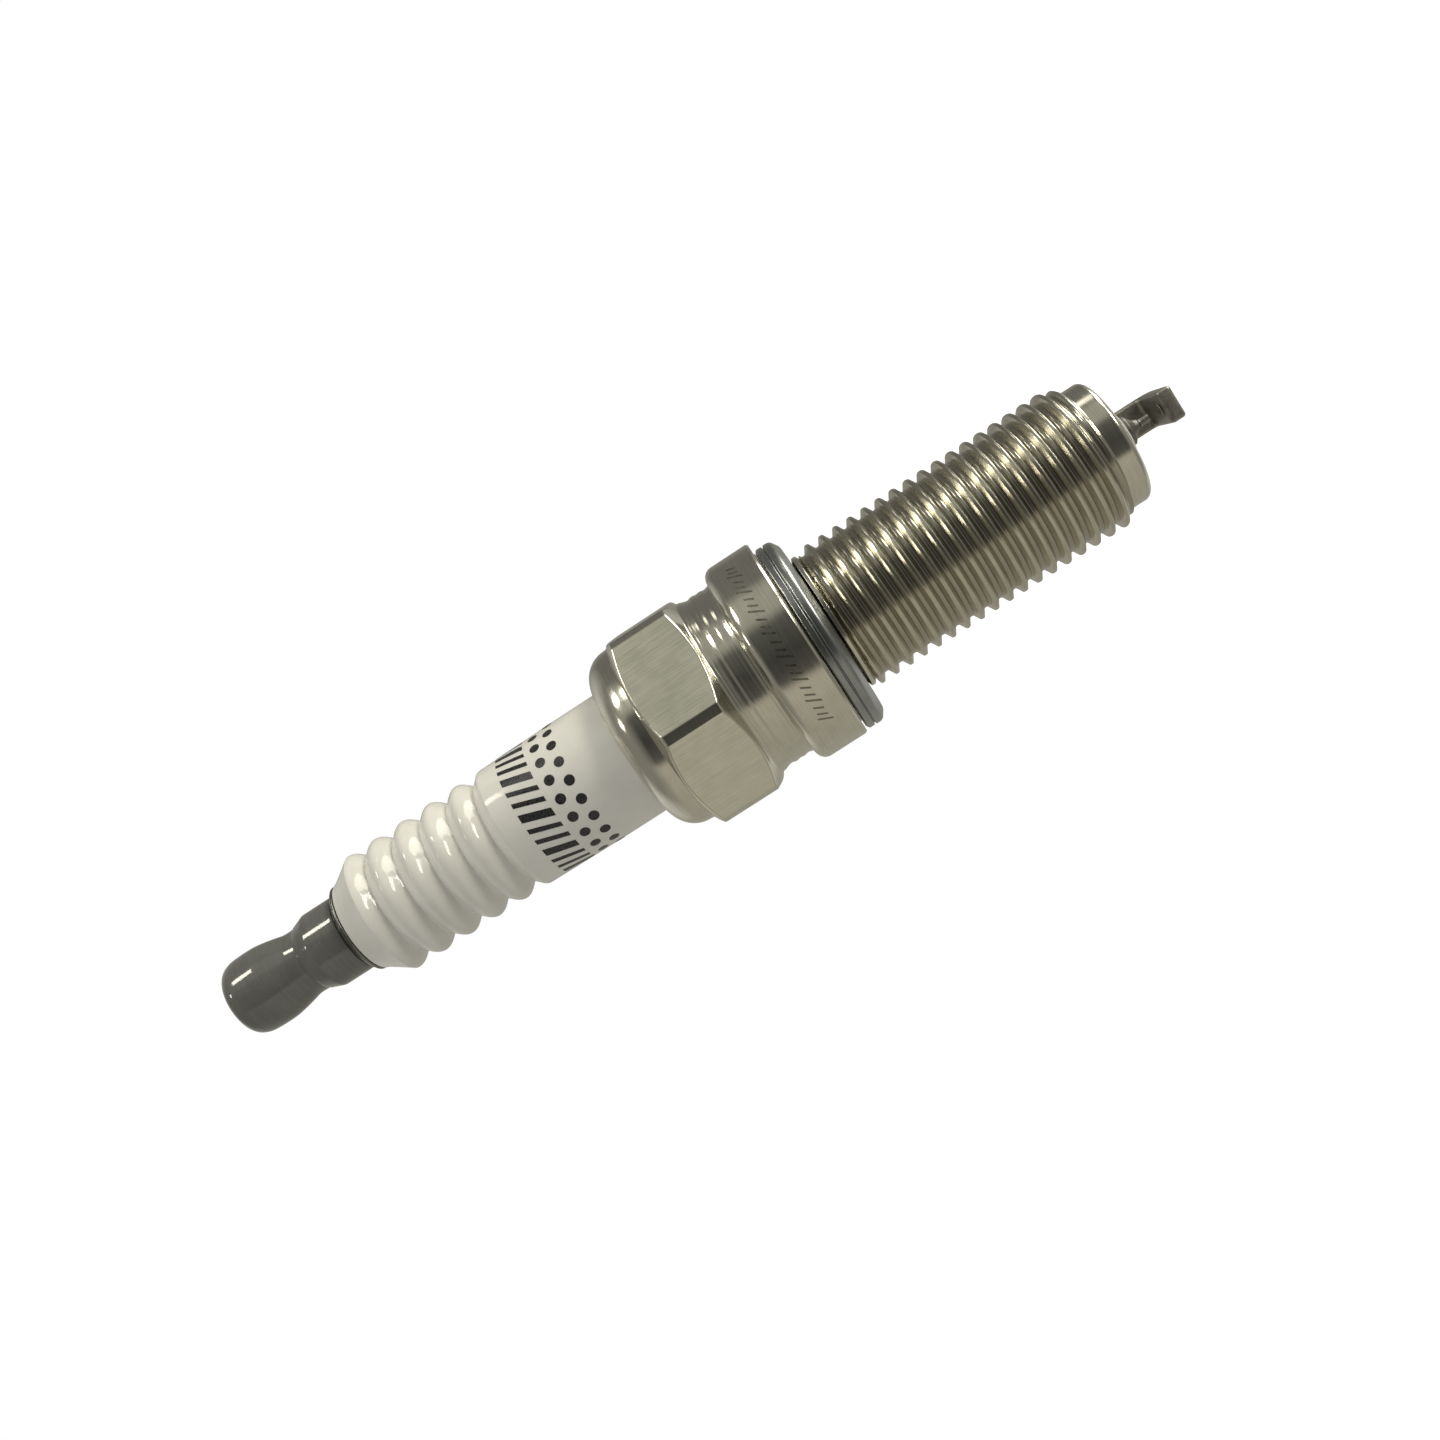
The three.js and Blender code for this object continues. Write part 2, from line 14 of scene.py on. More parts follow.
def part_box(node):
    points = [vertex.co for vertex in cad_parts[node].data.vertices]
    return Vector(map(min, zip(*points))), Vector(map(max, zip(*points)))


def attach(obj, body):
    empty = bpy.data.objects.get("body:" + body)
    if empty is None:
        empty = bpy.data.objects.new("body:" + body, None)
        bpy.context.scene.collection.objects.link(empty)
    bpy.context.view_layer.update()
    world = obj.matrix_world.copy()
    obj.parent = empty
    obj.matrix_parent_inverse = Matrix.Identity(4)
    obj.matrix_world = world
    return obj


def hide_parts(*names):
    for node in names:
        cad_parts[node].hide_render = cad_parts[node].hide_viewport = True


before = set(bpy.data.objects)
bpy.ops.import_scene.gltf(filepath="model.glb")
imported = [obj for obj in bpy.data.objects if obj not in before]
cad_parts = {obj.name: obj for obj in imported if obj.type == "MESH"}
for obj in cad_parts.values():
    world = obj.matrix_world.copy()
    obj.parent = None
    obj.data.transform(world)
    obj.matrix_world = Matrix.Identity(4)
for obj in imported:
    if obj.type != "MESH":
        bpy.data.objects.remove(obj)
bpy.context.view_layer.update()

MM = 0.001
COLUMNS = 192
FILLET_STEPS = 5
CURVE_STEPS = 6
SHARP_ANGLE = math.radians(32)

# ---------------------------------------------------------------- sizes

shell_low, shell_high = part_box("metal_shell")
nut_low, nut_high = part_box("terminal_nut")
stud_low, stud_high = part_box("terminal_stud")
insulator_low, insulator_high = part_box("insulator")
gasket_low, gasket_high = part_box("crush_gasket")
strap_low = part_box("ground_electrode")[0]
electrode_low, electrode_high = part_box("centre_electrode")
wire_low, wire_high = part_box("iridium_tip")
pad_low, pad_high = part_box("ground_pad")

RIM_Z = shell_low.z
CRIMP_TOP_Z = shell_high.z
FLANGE_R = shell_high.x

THREAD_PITCH = 1.25 * MM
THREAD_CREST_R = 5.93 * MM
THREAD_ROOT_R = 5.32 * MM
THREAD_TOP_Z = -0.72 * MM
THREAD_SHOULDER_R = 5.66 * MM
THREAD_END_Z = RIM_Z + 1.85 * MM
THREAD_RUNOUTS = (0.9 * MM, 0.12 * MM)  # at the low end and at the high end
THREAD_ROWS = 16  # along one pitch
THREAD_LEAD = -0.375  # in turns
THREAD_CROWN = 0.06  # in thread heights
THREAD_CREST_SHARE = 0.25  # of the pitch, and as much for the root

PLAIN_END_R = 5.03 * MM
CHAMBER_R = 3.85 * MM
RELIEF_R = 5.25 * MM
FLANGE_LOW_Z = gasket_high.z + 0.1 * MM
FLANGE_HIGH_Z = FLANGE_LOW_Z + 4.1 * MM
FLANGE_STEP_Z = gasket_high.z + 0.015 * MM
FLANGE_STEP_R = 7.45 * MM
NECK_R = 7.32 * MM
NECK_WAVE = 0.03 * MM
NECK_WAVE_PITCH = 0.74 * MM
NECK_SLOW_WAVE = 0.6  # height of the wave of twice the pitch, in shares of the first
NECK_SLOW_PHASE = 0.9
NECK_FLARE = 0.16 * MM
NECK_FLARE_Z = 8.2 * MM
NECK_STEPS = 48

HEX_APOTHEM = 7.84 * MM
HEX_CORNER_R = 8.83 * MM
HEX_CORNER_ANGLE = math.radians(-95)
HEX_LOW_Z = 8.95 * MM
HEX_HIGH_Z = 15.05 * MM
HEX_CHAMFER_R = 7.6 * MM
HEX_CHAMFER_SLOPE = math.tan(math.radians(30))
HEX_FLAT_STEPS = 22
HEX_EDGE = 0.1 * MM
# inset and lift of each ring over an edge of the hexagon, in edge sizes
HEX_EDGE_BANDS = ((2.4, -1.39), (1.6, -0.92), (0.45, 0.0), (0.0, 0.9), (0.0, 1.3))

CRIMP_R = 7.53 * MM
CRIMP_ROLL = 2.25 * MM
CRIMP_TURN = 84  # in degrees, from the hexagon to the mouth
CRIMP_STEPS = 28
CRIMP_MOUTH_R = CRIMP_R - CRIMP_ROLL

LIP_THICKNESS = 0.85 * MM
BODY_BORE_R = 6.35 * MM
BODY_BORE_LOW_Z = 4.0 * MM
THREAD_BORE_R = 4.2 * MM
THREAD_BORE_HIGH_Z = 2.6 * MM
THREAD_BORE_LOW_Z = -11.4 * MM
SEAT_BORE_R = 3.4 * MM
SEAT_HIGH_Z = -12.4 * MM
SEAT_LOW_Z = -14.2 * MM
CHAMBER_HIGH_Z = -15.2 * MM

GASKET_INNER_R = 5.75 * MM
GASKET_GROOVE_Z = gasket_low.z + 1.14 * MM
GASKET_GROOVE = 0.3 * MM

INSULATOR_TOP_R = 3.82 * MM
RIB_TOP_Z = insulator_high.z - 2.2 * MM
RIB_PITCH = 2.5 * MM
RIB_COUNT = 5
RIB_CREST_R = 5.08 * MM
RIB_VALLEY_R = 4.25 * MM
RIB_FULLNESS = 0.62  # below 1 the crests are wider than the valleys
RIB_STEPS = 20
BARREL_R = 5.18 * MM
BARREL_TOP_R = 5.08 * MM
BARREL_BEND_Z = 22.0 * MM
BARREL_TOP_Z = 28.6 * MM

# the marks, from angle to angle round the axis
MARK_LIFT = 0.012 * MM
MARK_STEP = math.radians(2)
PRINT_START, PRINT_END = math.radians(-172), math.radians(-8)
BAR_ROW_Z = 24.35 * MM
BAR_TALL = 2.45 * MM
BAR_SLANT = math.radians(9)
BAR_WIDE, BAR_NARROW, BAR_SPACE = math.radians(7.5), math.radians(4.5), math.radians(6.5)
DOT_ROW_Z = 22.1 * MM
DOT_STAGGER = 1.3 * MM
DOT_R = 0.42 * MM
DOT_SPACING = math.radians(9)
DOT_SIDES = 20
STAMP_START, STAMP_END = math.radians(-134), math.radians(-30)
STAMP_Z = 3.95 * MM
STROKE_LONG, STROKE_SHORT = 1.05 * MM, 0.7 * MM
STROKE_WIDTH = math.radians(1.2)
STROKE_SPACING = math.radians(4.4)
STROKE_SLANT = 0.6  # sideways for each length upwards

UPPER_BORE_R = 1.9 * MM
UPPER_BORE_LOW_Z = -9.0 * MM
LOWER_BORE_R = 1.24 * MM
LOWER_BORE_HIGH_Z = -9.5 * MM
NOSE_TIP_R = 1.95 * MM
NOSE_R = 3.15 * MM
NOSE_LOW_Z = -12.8 * MM
NOSE_HIGH_Z = -12.0 * MM
STEM_R = 4.1 * MM
STEM_LOW_Z = -11.0 * MM
STEM_HIGH_Z = 3.1 * MM
SHOULDER_LOW_Z = 4.5 * MM
SHOULDER_HIGH_Z = 11.9 * MM
BARREL_LOW_Z = 12.2 * MM

STUD_COLLAR_R = stud_high.x
STUD_COLLAR_HIGH_Z = nut_low.z - 0.05 * MM
STUD_THREAD_PITCH = 0.7 * MM
STUD_CREST_R = 1.97 * MM
STUD_ROOT_R = 1.6 * MM
STUD_RUNOUTS = (0.4 * MM, 0.4 * MM)
STUD_THREAD_ROWS = 8
STUD_ROD_R = 1.55 * MM
STUD_NECK_R = 1.84 * MM
STUD_COLUMNS = 96

NUT_BORE_R = 2.05 * MM
NUT_BORE_DEPTH = 7.55 * MM
NUT_WAIST_R = 2.66 * MM

STRAP_WIDTH = 2.6 * MM
STRAP_THICKNESS = 1.15 * MM
STRAP_LEG_R = 4.4 * MM
STRAP_REACH = 1.05 * MM
STRAP_ANGLE = math.radians(85)
STRAP_BEND_R = 1.05 * MM
STRAP_CORNER = 0.22 * MM
STRAP_END_EDGE = 0.2 * MM
STRAP_WELD_SWELL = 0.1 * MM
STRAP_LEG_STEPS, STRAP_BEND_STEPS, STRAP_ARM_STEPS = 7, 12, 8

ELECTRODE_R = 1.2 * MM
ELECTRODE_HEAD_R = 1.8 * MM
ELECTRODE_HEAD_LOW_Z = -8.95 * MM
ELECTRODE_COLUMNS = 96
CORE_R = 0.74 * MM
CORE_LOW_Z = -23.0 * MM
WIRE_R = 0.3 * MM
WIRE_WELD_R = 0.42 * MM
PAD_R = 0.5 * MM
TIP_COLUMNS = 48

# the camera, from the plug's axis
CAMERA_DISTANCE = 116.42 * MM
CAMERA_HEIGHT = 1.70 * MM
CAMERA_UP_TURN = math.radians(4.50)
CAMERA_SIDE_TURN = math.radians(0.80)
CAMERA_ROLL = math.radians(32.88)
CAMERA_LENS = 38.56
CAMERA_SENSOR = 36.0


# ---------------------------------------------------------------- mesh helpers

def polar(radius, angle, z):
    """A point at a distance and angle from the plug's axis, at a height."""
    return Vector((radius * math.cos(angle), radius * math.sin(angle), z))


def arc(centre_r, centre_z, radius, start, end, steps=8):
    """Outline points along an arc, in degrees, both ends included."""
    points = []
    for i in range(steps + 1):
        angle = math.radians(start + (end - start) * i / steps)
        points.append((centre_r + radius * math.cos(angle), centre_z + radius * math.sin(angle)))
    return points


def rounded(corners):
    """Outline points through (r, z) or (r, z, fillet radius) corners."""
    points = []
    for i, corner in enumerate(corners):
        here = Vector(corner[:2])
        if len(corner) == 2 or i in (0, len(corners) - 1):
            points.append(tuple(here))
            continue
        to_last = (Vector(corners[i - 1][:2]) - here).normalized()
        to_next = (Vector(corners[i + 1][:2]) - here).normalized()
        half = to_last.angle(to_next) / 2
        reach = corner[2] / math.tan(half)
        start, end = here + to_last * reach, here + to_next * reach
        centre = here + (to_last + to_next).normalized() * (corner[2] / math.sin(half))
        for k in range(FILLET_STEPS + 1):
            chord = start.lerp(end, k / FILLET_STEPS)
            points.append(tuple(centre + (chord - centre).normalized() * corner[2]))
    return points


def smooth_line(points):
    """A Catmull-Rom curve through outline points."""
    knots = [Vector(p) for p in points]
    knots = [2 * knots[0] - knots[1]] + knots + [2 * knots[-1] - knots[-2]]
    curve = []
    for a, b, c, d in zip(knots, knots[1:], knots[2:], knots[3:]):
        for k in range(CURVE_STEPS):
            t = k / CURVE_STEPS
            point = 0.5 * (2 * b + (c - a) * t + (2 * a - 5 * b + 4 * c - d) * t * t
                           + (3 * b - a - 3 * c + d) * t ** 3)
            curve.append(tuple(point))
    curve.append(tuple(points[-1]))
    return curve


def finished(bm, name, materials, body, nodes=(), sharp=SHARP_ANGLE):
    """Turns a bmesh into a named piece that rides on a CAD body."""
    bmesh.ops.remove_doubles(bm, verts=bm.verts, dist=1e-7)
    bmesh.ops.dissolve_degenerate(bm, edges=bm.edges, dist=1e-8)
    for face in bm.faces:
        face.smooth = True
    for edge in bm.edges:
        if len(edge.link_faces) == 2 and edge.calc_face_angle(0) > sharp:
            edge.smooth = False
    mesh = bpy.data.meshes.new(name)
    bm.to_mesh(mesh)
    bm.free()
    piece = bpy.data.objects.new(name, mesh)
    bpy.context.scene.collection.objects.link(piece)
    for material in materials:
        mesh.materials.append(material)
    if nodes:
        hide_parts(*nodes)
    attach(piece, body)


def skin_rings(bm, rings, material_of=None, closed=False):
    """Faces between rings of vertices; a ring of one vertex is a pole."""
    pairs = list(zip(rings, rings[1:]))
    if closed:
        pairs.append((rings[-1], rings[0]))
    for k, (low, high) in enumerate(pairs):
        count = max(len(low), len(high))
        for j in range(count):
            n = (j + 1) % count
            if len(low) == 1:
                corners = (low[0], high[n], high[j])
            elif len(high) == 1:
                corners = (low[j], low[n], high[0])
            else:
                corners = (low[j], low[n], high[n], high[j])
            face = bm.faces.new(corners)
            if material_of:
                face.material_index = material_of(k, j)


def lathe_rings(bm, outline, angles):
    """A ring of vertices for each outline point; a point on the axis gives a single vertex."""
    rings = []
    for r, z in outline:
        if r < 1e-9:
            rings.append([bm.verts.new((0, 0, z))])
        else:
            rings.append([bm.verts.new(polar(r, a, z)) for a in angles])
    return rings


def even_angles(columns=COLUMNS):
    """Columns spaced evenly round the axis."""
    return [2 * math.pi * j / columns for j in range(columns)]


def lathe(name, outline, material, body, nodes=(), closed=False, centre=(0, 0),
          columns=COLUMNS):
    """A turned piece. The outline runs upwards on the outside, and closes on itself or on the axis."""
    bm = bmesh.new()
    skin_rings(bm, lathe_rings(bm, outline, even_angles(columns)), closed=closed)
    bmesh.ops.translate(bm, verts=bm.verts, vec=(centre[0], centre[1], 0))
    finished(bm, name, [material], body, nodes)


def thread_rise(turns):
    """Height of the thread, from 0 in its root to 1 on its crest, at a place along the pitch. The
    crowned crest, each straight flank and the hollow root have a quarter of the pitch each."""
    off_crest = abs(turns % 1.0 - 0.5) * 2
    off_root = 1 - off_crest
    if off_crest < THREAD_CREST_SHARE:
        return 1 - THREAD_CROWN * (off_crest / THREAD_CREST_SHARE) ** 2
    if off_root < THREAD_CREST_SHARE:
        return THREAD_CROWN * (off_root / THREAD_CREST_SHARE) ** 2
    flank_rise = (off_root - THREAD_CREST_SHARE) / (1 - 2 * THREAD_CREST_SHARE)
    return THREAD_CROWN + (1 - 2 * THREAD_CROWN) * flank_rise


def add_thread(bm, angles, low_z, high_z, root_r, crest_r, pitch, runouts, rows, lead=0.0,
               material_index=0):
    """A right-hand helical surface between two plain rings, fading out at both ends."""
    turns = math.ceil((high_z - low_z) / pitch) + 1
    count = rows * (turns + 1)
    low_runout, high_runout = runouts

    def height(column, row):
        share = angles[column] / (2 * math.pi)
        z = low_z + pitch * (row / rows + share - 1)
        return min(max(z, low_z), high_z)

    def radius(row, z):
        fade = min(1.0, (z - low_z) / low_runout, (high_z - z) / high_runout)
        rise = thread_rise(row / rows - lead)
        return root_r + (crest_r - root_r) * rise * math.sin(0.5 * math.pi * fade)

    columns = []
    for column in range(len(angles)):
        points = []
        for row in range(count + rows + 1):
            z = height(column, row)
            points.append(bm.verts.new(polar(radius(row, z), angles[column], z)))
        columns.append(points)
    for column in range(len(angles)):
        wraps = column == len(angles) - 1
        beside = columns[0 if wraps else column + 1]
        here = columns[column]
        shift = rows if wraps else 0
        for row in range(count):
            corners = [here[row], beside[row + shift], beside[row + 1 + shift], here[row + 1]]
            distinct = []
            for corner in corners:
                if all((corner.co - other.co).length > 1e-8 for other in distinct):
                    distinct.append(corner)
            if len(distinct) > 2:
                bm.faces.new(distinct).material_index = material_index
    loose = [v for v in bm.verts if not v.link_faces]
    bmesh.ops.delete(bm, geom=loose, context="VERTS")


# ---------------------------------------------------------------- material helpers

NOISE_ROUGHNESS = 0.55

# the colour sockets of a Mix node
MIX_FACTOR, MIX_FIRST, MIX_SECOND, MIX_RESULT = 0, 6, 7, 2


def new_material(name):
    """A material with its node tree and its Principled shader."""
    material = bpy.data.materials.new(name)
    material.use_nodes = True
    return material, material.node_tree, material.node_tree.nodes["Principled BSDF"]


def node(tree, kind, **inputs):
    """A node with values set on its sockets; an underscore stands for a space."""
    made = tree.nodes.new(kind)
    for key, value in inputs.items():
        made.inputs[key.replace("_", " ")].default_value = value
    return made


def math_node(tree, operation, first, second=None):
    """A calculation on one or two values, each a number or a socket."""
    made = tree.nodes.new("ShaderNodeMath")
    made.operation = operation
    for socket, value in zip(made.inputs, (first, second)):
        if value is None:
            continue
        if isinstance(value, (int, float)):
            socket.default_value = value
        else:
            tree.links.new(value, socket)
    return made.outputs[0]


def object_position(tree):
    """The place on the object, in metres."""
    return tree.nodes.new("ShaderNodeTexCoord").outputs["Object"]


def noise(tree, position, scale, detail=4.0):
    """Fractal noise, with its features per metre as its scale."""
    made = node(tree, "ShaderNodeTexNoise", Scale=scale, Detail=detail, Roughness=NOISE_ROUGHNESS)
    tree.links.new(position, made.inputs["Vector"])
    return made.outputs["Fac"]


def stretched(tree, position, scale):
    """The position scaled unevenly, so that a texture runs in streaks."""
    made = tree.nodes.new("ShaderNodeMapping")
    made.inputs["Scale"].default_value = scale
    tree.links.new(position, made.inputs["Vector"])
    return made.outputs["Vector"]


def ramp(tree, value, stops):
    """A colour for a value, from (value, colour) stops."""
    made = tree.nodes.new("ShaderNodeValToRGB")
    elements = made.color_ramp.elements
    while len(elements) < len(stops):
        elements.new(0.5)
    for element, (place, colour) in zip(elements, stops):
        element.position = place
        element.color = (*colour, 1.0)
    tree.links.new(value, made.inputs["Fac"])
    return made.outputs["Color"]


def mixed(tree, factor, first, second):
    """One colour at factor 0 and the other at factor 1; each is a socket or a plain colour."""
    made = tree.nodes.new("ShaderNodeMix")
    made.data_type = "RGBA"
    tree.links.new(factor, made.inputs[MIX_FACTOR])
    for place, colour in ((MIX_FIRST, first), (MIX_SECOND, second)):
        if isinstance(colour, tuple):
            made.inputs[place].default_value = (*colour, 1.0)
        else:
            tree.links.new(colour, made.inputs[place])
    return made.outputs[MIX_RESULT]


def mapped(tree, value, from_low, from_high, to_low, to_high):
    """A value carried over from one range to another, and held at its ends."""
    made = node(tree, "ShaderNodeMapRange", From_Min=from_low, From_Max=from_high,
                To_Min=to_low, To_Max=to_high)
    tree.links.new(value, made.inputs["Value"])
    return made.outputs["Result"]


def bump(tree, shader, height, strength, distance):
    """Fine relief on a shader, as deep as its distance."""
    made = node(tree, "ShaderNodeBump", Strength=strength, Distance=distance)
    tree.links.new(height, made.inputs["Height"])
    tree.links.new(made.outputs["Normal"], shader.inputs["Normal"])


def axis_distance(tree, position):
    """Distance from the plug's axis."""
    split = tree.nodes.new("ShaderNodeSeparateXYZ")
    tree.links.new(position, split.inputs[0])
    x_square = math_node(tree, "POWER", math_node(tree, "ABSOLUTE", split.outputs["X"]), 2.0)
    y_square = math_node(tree, "POWER", math_node(tree, "ABSOLUTE", split.outputs["Y"]), 2.0)
    return math_node(tree, "SQRT", math_node(tree, "ADD", x_square, y_square))


# streak patterns for metal(): how finely the noise repeats along x, y and z
TURNED = (0.3 / MM, 0.3 / MM, 14.0 / MM)
GROUND_ALONG = (9.0 / MM, 9.0 / MM, 0.35 / MM)
EVEN = (6.0 / MM, 6.0 / MM, 6.0 / MM)
STREAK_SHARE = 0.6
# colour of the grime and painted shade that darken the thread's roots
GROOVE_GRIME_AND_SHADE = (0.46, 0.435, 0.37)


def metal(name, dark, light, roughness, streaks, relief=0.002 * MM, metallic=1.0, groove_grime_and_shade=None):
    """Plated or bare metal: colour clouds, streaked roughness, faint machining relief, and grime with
    painted shade darkening its grooves. The grime and shade are given as the two distances from the
    axis between which they fade out."""
    material, tree, shader = new_material(name)
    position = object_position(tree)
    shader.inputs["Metallic"].default_value = metallic
    lines = noise(tree, stretched(tree, position, streaks), 1.0, detail=3.0)
    smears = noise(tree, position, 0.6 / MM, detail=2.0)
    both = math_node(tree, "ADD", math_node(tree, "MULTIPLY", lines, STREAK_SHARE),
                     math_node(tree, "MULTIPLY", smears, 1 - STREAK_SHARE))
    colour = ramp(tree, both, [(0.38, dark), (0.62, light)])
    # painted shade with grime: the base colour darkens towards the thread's roots, by the distance from
    # the axis
    if groove_grime_and_shade:
        clear_of_grime_and_shade = mapped(tree, axis_distance(tree, position), groove_grime_and_shade[0], groove_grime_and_shade[1], 0.0, 1.0)
        colour = mixed(tree, clear_of_grime_and_shade, GROOVE_GRIME_AND_SHADE, colour)
    tree.links.new(colour, shader.inputs["Base Color"])
    low, high = roughness
    tree.links.new(mapped(tree, both, 0.35, 0.65, low, high), shader.inputs["Roughness"])
    bump(tree, shader, lines, 0.6, relief)
    return material


nickel = metal("nickel_plate_turned", (0.68, 0.66, 0.585), (0.78, 0.76, 0.68), (0.12, 0.2), TURNED)
nickel_flat = metal("nickel_plate_satin_flats", (0.74, 0.735, 0.635), (0.86, 0.85, 0.74), (0.15, 0.22),
                    GROUND_ALONG, relief=0.004 * MM)
# the thread's roots darken with grime and painted shade
nickel_thread = metal("nickel_plate_thread", (0.58, 0.555, 0.475), (0.70, 0.675, 0.585), (0.16, 0.24),
                      TURNED, relief=0.0004 * MM,
                      groove_grime_and_shade=(THREAD_ROOT_R + 0.01 * MM, THREAD_ROOT_R + 0.13 * MM))
# painted shade: dark plates where the stamped dents of the flange would hold shade
stamp_dent_shade_metal = metal("nickel_plate_stamp_dent_shade", (0.2, 0.19, 0.16), (0.34, 0.33, 0.28), (0.25, 0.4), EVEN)
gasket_steel = metal("gasket_steel", (0.36, 0.375, 0.38), (0.44, 0.455, 0.46), (0.24, 0.32), TURNED,
                     relief=0.0006 * MM)
stud_steel = metal("stud_steel", (0.22, 0.22, 0.205), (0.32, 0.32, 0.30), (0.2, 0.34), TURNED)
ring_steel = metal("ring_steel", (0.42, 0.42, 0.41), (0.55, 0.55, 0.53), (0.3, 0.45), EVEN)
electrode_alloy = metal("electrode_alloy", (0.34, 0.335, 0.30), (0.46, 0.45, 0.41), (0.36, 0.5), EVEN,
                        relief=0.004 * MM)
copper_metal = metal("copper_metal", (0.62, 0.33, 0.2), (0.78, 0.45, 0.3), (0.25, 0.4), EVEN)
# painted shade: the centre electrode, its fine wire and the strap's pad are coloured darker than their
# metal, for the shade at the firing end
electrode_nose_painted_shade = metal("electrode_nose_painted_shade", (0.20, 0.195, 0.18), (0.28, 0.27, 0.25), (0.4, 0.55), EVEN)
noble_metal = metal("noble_metal", (0.28, 0.28, 0.26), (0.38, 0.38, 0.36), (0.34, 0.48), EVEN)
terminal_black = metal("terminal_black", (0.165, 0.165, 0.158), (0.205, 0.205, 0.196), (0.07, 0.12),
                       TURNED, metallic=0.25, relief=0.0006 * MM)


def ceramic_material():
    """Clear glaze over white alumina, faintly mottled, with a soft orange-peel surface."""
    material, tree, shader = new_material("insulator_glaze")
    position = object_position(tree)
    tone = noise(tree, position, 0.35 / MM, detail=3.0)
    white = ramp(tree, tone, [(0.3, (0.80, 0.79, 0.755)), (0.7, (0.86, 0.85, 0.82))])
    tree.links.new(white, shader.inputs["Base Color"])
    tree.links.new(mapped(tree, noise(tree, position, 1.5 / MM), 0.3, 0.7, 0.07, 0.15),
                   shader.inputs["Roughness"])
    shader.inputs["IOR"].default_value = 1.55
    shader.inputs["Specular IOR Level"].default_value = 0.2
    shader.inputs["Coat Weight"].default_value = 0.4
    shader.inputs["Coat Roughness"].default_value = 0.04
    bump(tree, shader, noise(tree, position, 1.1 / MM, detail=2.0), 0.35, 0.012 * MM)
    return material


def powder_material(name, dark, light, roughness):
    """A mineral body or ink with fine grains."""
    material, tree, shader = new_material(name)
    spread = 0.08
    grains = noise(tree, object_position(tree), 8.0 / MM, detail=5.0)
    tree.links.new(ramp(tree, grains, [(0.35, dark), (0.65, light)]), shader.inputs["Base Color"])
    tree.links.new(mapped(tree, grains, 0.3, 0.7, roughness - spread, roughness + spread),
                   shader.inputs["Roughness"])
    bump(tree, shader, grains, 0.5, 0.02 * MM)
    return material


glaze = ceramic_material()
talc_powder = powder_material("talc_powder", (0.74, 0.72, 0.66), (0.86, 0.85, 0.8), 0.88)
seal_glass = powder_material("seal_glass", (0.08, 0.07, 0.06), (0.2, 0.16, 0.13), 0.4)
carbon_body = powder_material("carbon_body", (0.03, 0.03, 0.03), (0.08, 0.08, 0.08), 0.75)
print_ink = powder_material("print_ink", (0.018, 0.018, 0.02), (0.04, 0.04, 0.042), 0.3)


# ---------------------------------------------------------------- shell

def shell_angles():
    """Columns that hold every edge of the hexagon's flats and corner bands."""
    flat_end = math.acos(HEX_APOTHEM / HEX_CORNER_R)
    corner = math.radians(30)
    edge = HEX_EDGE / HEX_CORNER_R
    sector = [flat_end * (2 * i / HEX_FLAT_STEPS - 1) for i in range(HEX_FLAT_STEPS + 1)]
    sector += [-flat_end + edge, flat_end - edge, flat_end + edge, corner, 2 * corner - flat_end - edge]
    angles = []
    for k in range(6):
        middle = HEX_CORNER_ANGLE + corner + 2 * corner * k
        angles += [(middle + a) % (2 * math.pi) for a in sector]
    return sorted(angles)


def hex_radius(angle):
    """Radius of the truncated hexagon in one direction."""
    sector = math.radians(60)
    off_flat = (angle - HEX_CORNER_ANGLE) % sector - sector / 2
    return min(HEX_APOTHEM / math.cos(off_flat), HEX_CORNER_R)


def hex_rings(bm, angles):
    """Rings up the hexagon: chamfer, rounded edge, flats, rounded edge, chamfer. A narrow band on each
    side of an edge keeps the shading of the flats and the chamfers flat."""
    rings = []
    for inset, lift in HEX_EDGE_BANDS:
        ring = []
        for a in angles:
            edge_r = hex_radius(a)
            edge_z = HEX_LOW_Z + (edge_r - HEX_CHAMFER_R) * HEX_CHAMFER_SLOPE
            ring.append((edge_r - inset * HEX_EDGE, edge_z + lift * HEX_EDGE))
        rings.append(ring)
    for ring in rings[::-1]:
        rings.append([(r, HEX_LOW_Z + HEX_HIGH_Z - z) for r, z in ring])
    return [[bm.verts.new(polar(r, a, z)) for (r, z), a in zip(ring, angles)] for ring in rings]


def neck_outline():
    """The buckled neck between flange and hexagon, with shallow waves."""
    low, high = FLANGE_HIGH_Z + 0.1 * MM, HEX_LOW_Z - 0.3 * MM
    points = []
    for i in range(NECK_STEPS + 1):
        z = low + (high - low) * i / NECK_STEPS
        turns = (z - low) / NECK_WAVE_PITCH
        slow_wave = NECK_SLOW_WAVE * math.cos(math.pi * turns + NECK_SLOW_PHASE)
        wave = math.cos(2 * math.pi * turns) + slow_wave
        flare = NECK_FLARE * max(0.0, (z - NECK_FLARE_Z) / (high - NECK_FLARE_Z)) ** 2
        points.append((NECK_R + flare + NECK_WAVE * wave, z))
    return points


def shell_end():
    """The rim and the plain end, up to the thread."""
    return rounded([
        (CHAMBER_R, RIM_Z + 0.6 * MM),
        (CHAMBER_R, RIM_Z, 0.2 * MM),
        (PLAIN_END_R, RIM_Z, 0.5 * MM),
        (PLAIN_END_R, THREAD_END_Z - 0.12 * MM, 0.06 * MM),
        (THREAD_ROOT_R, THREAD_END_Z),
    ])


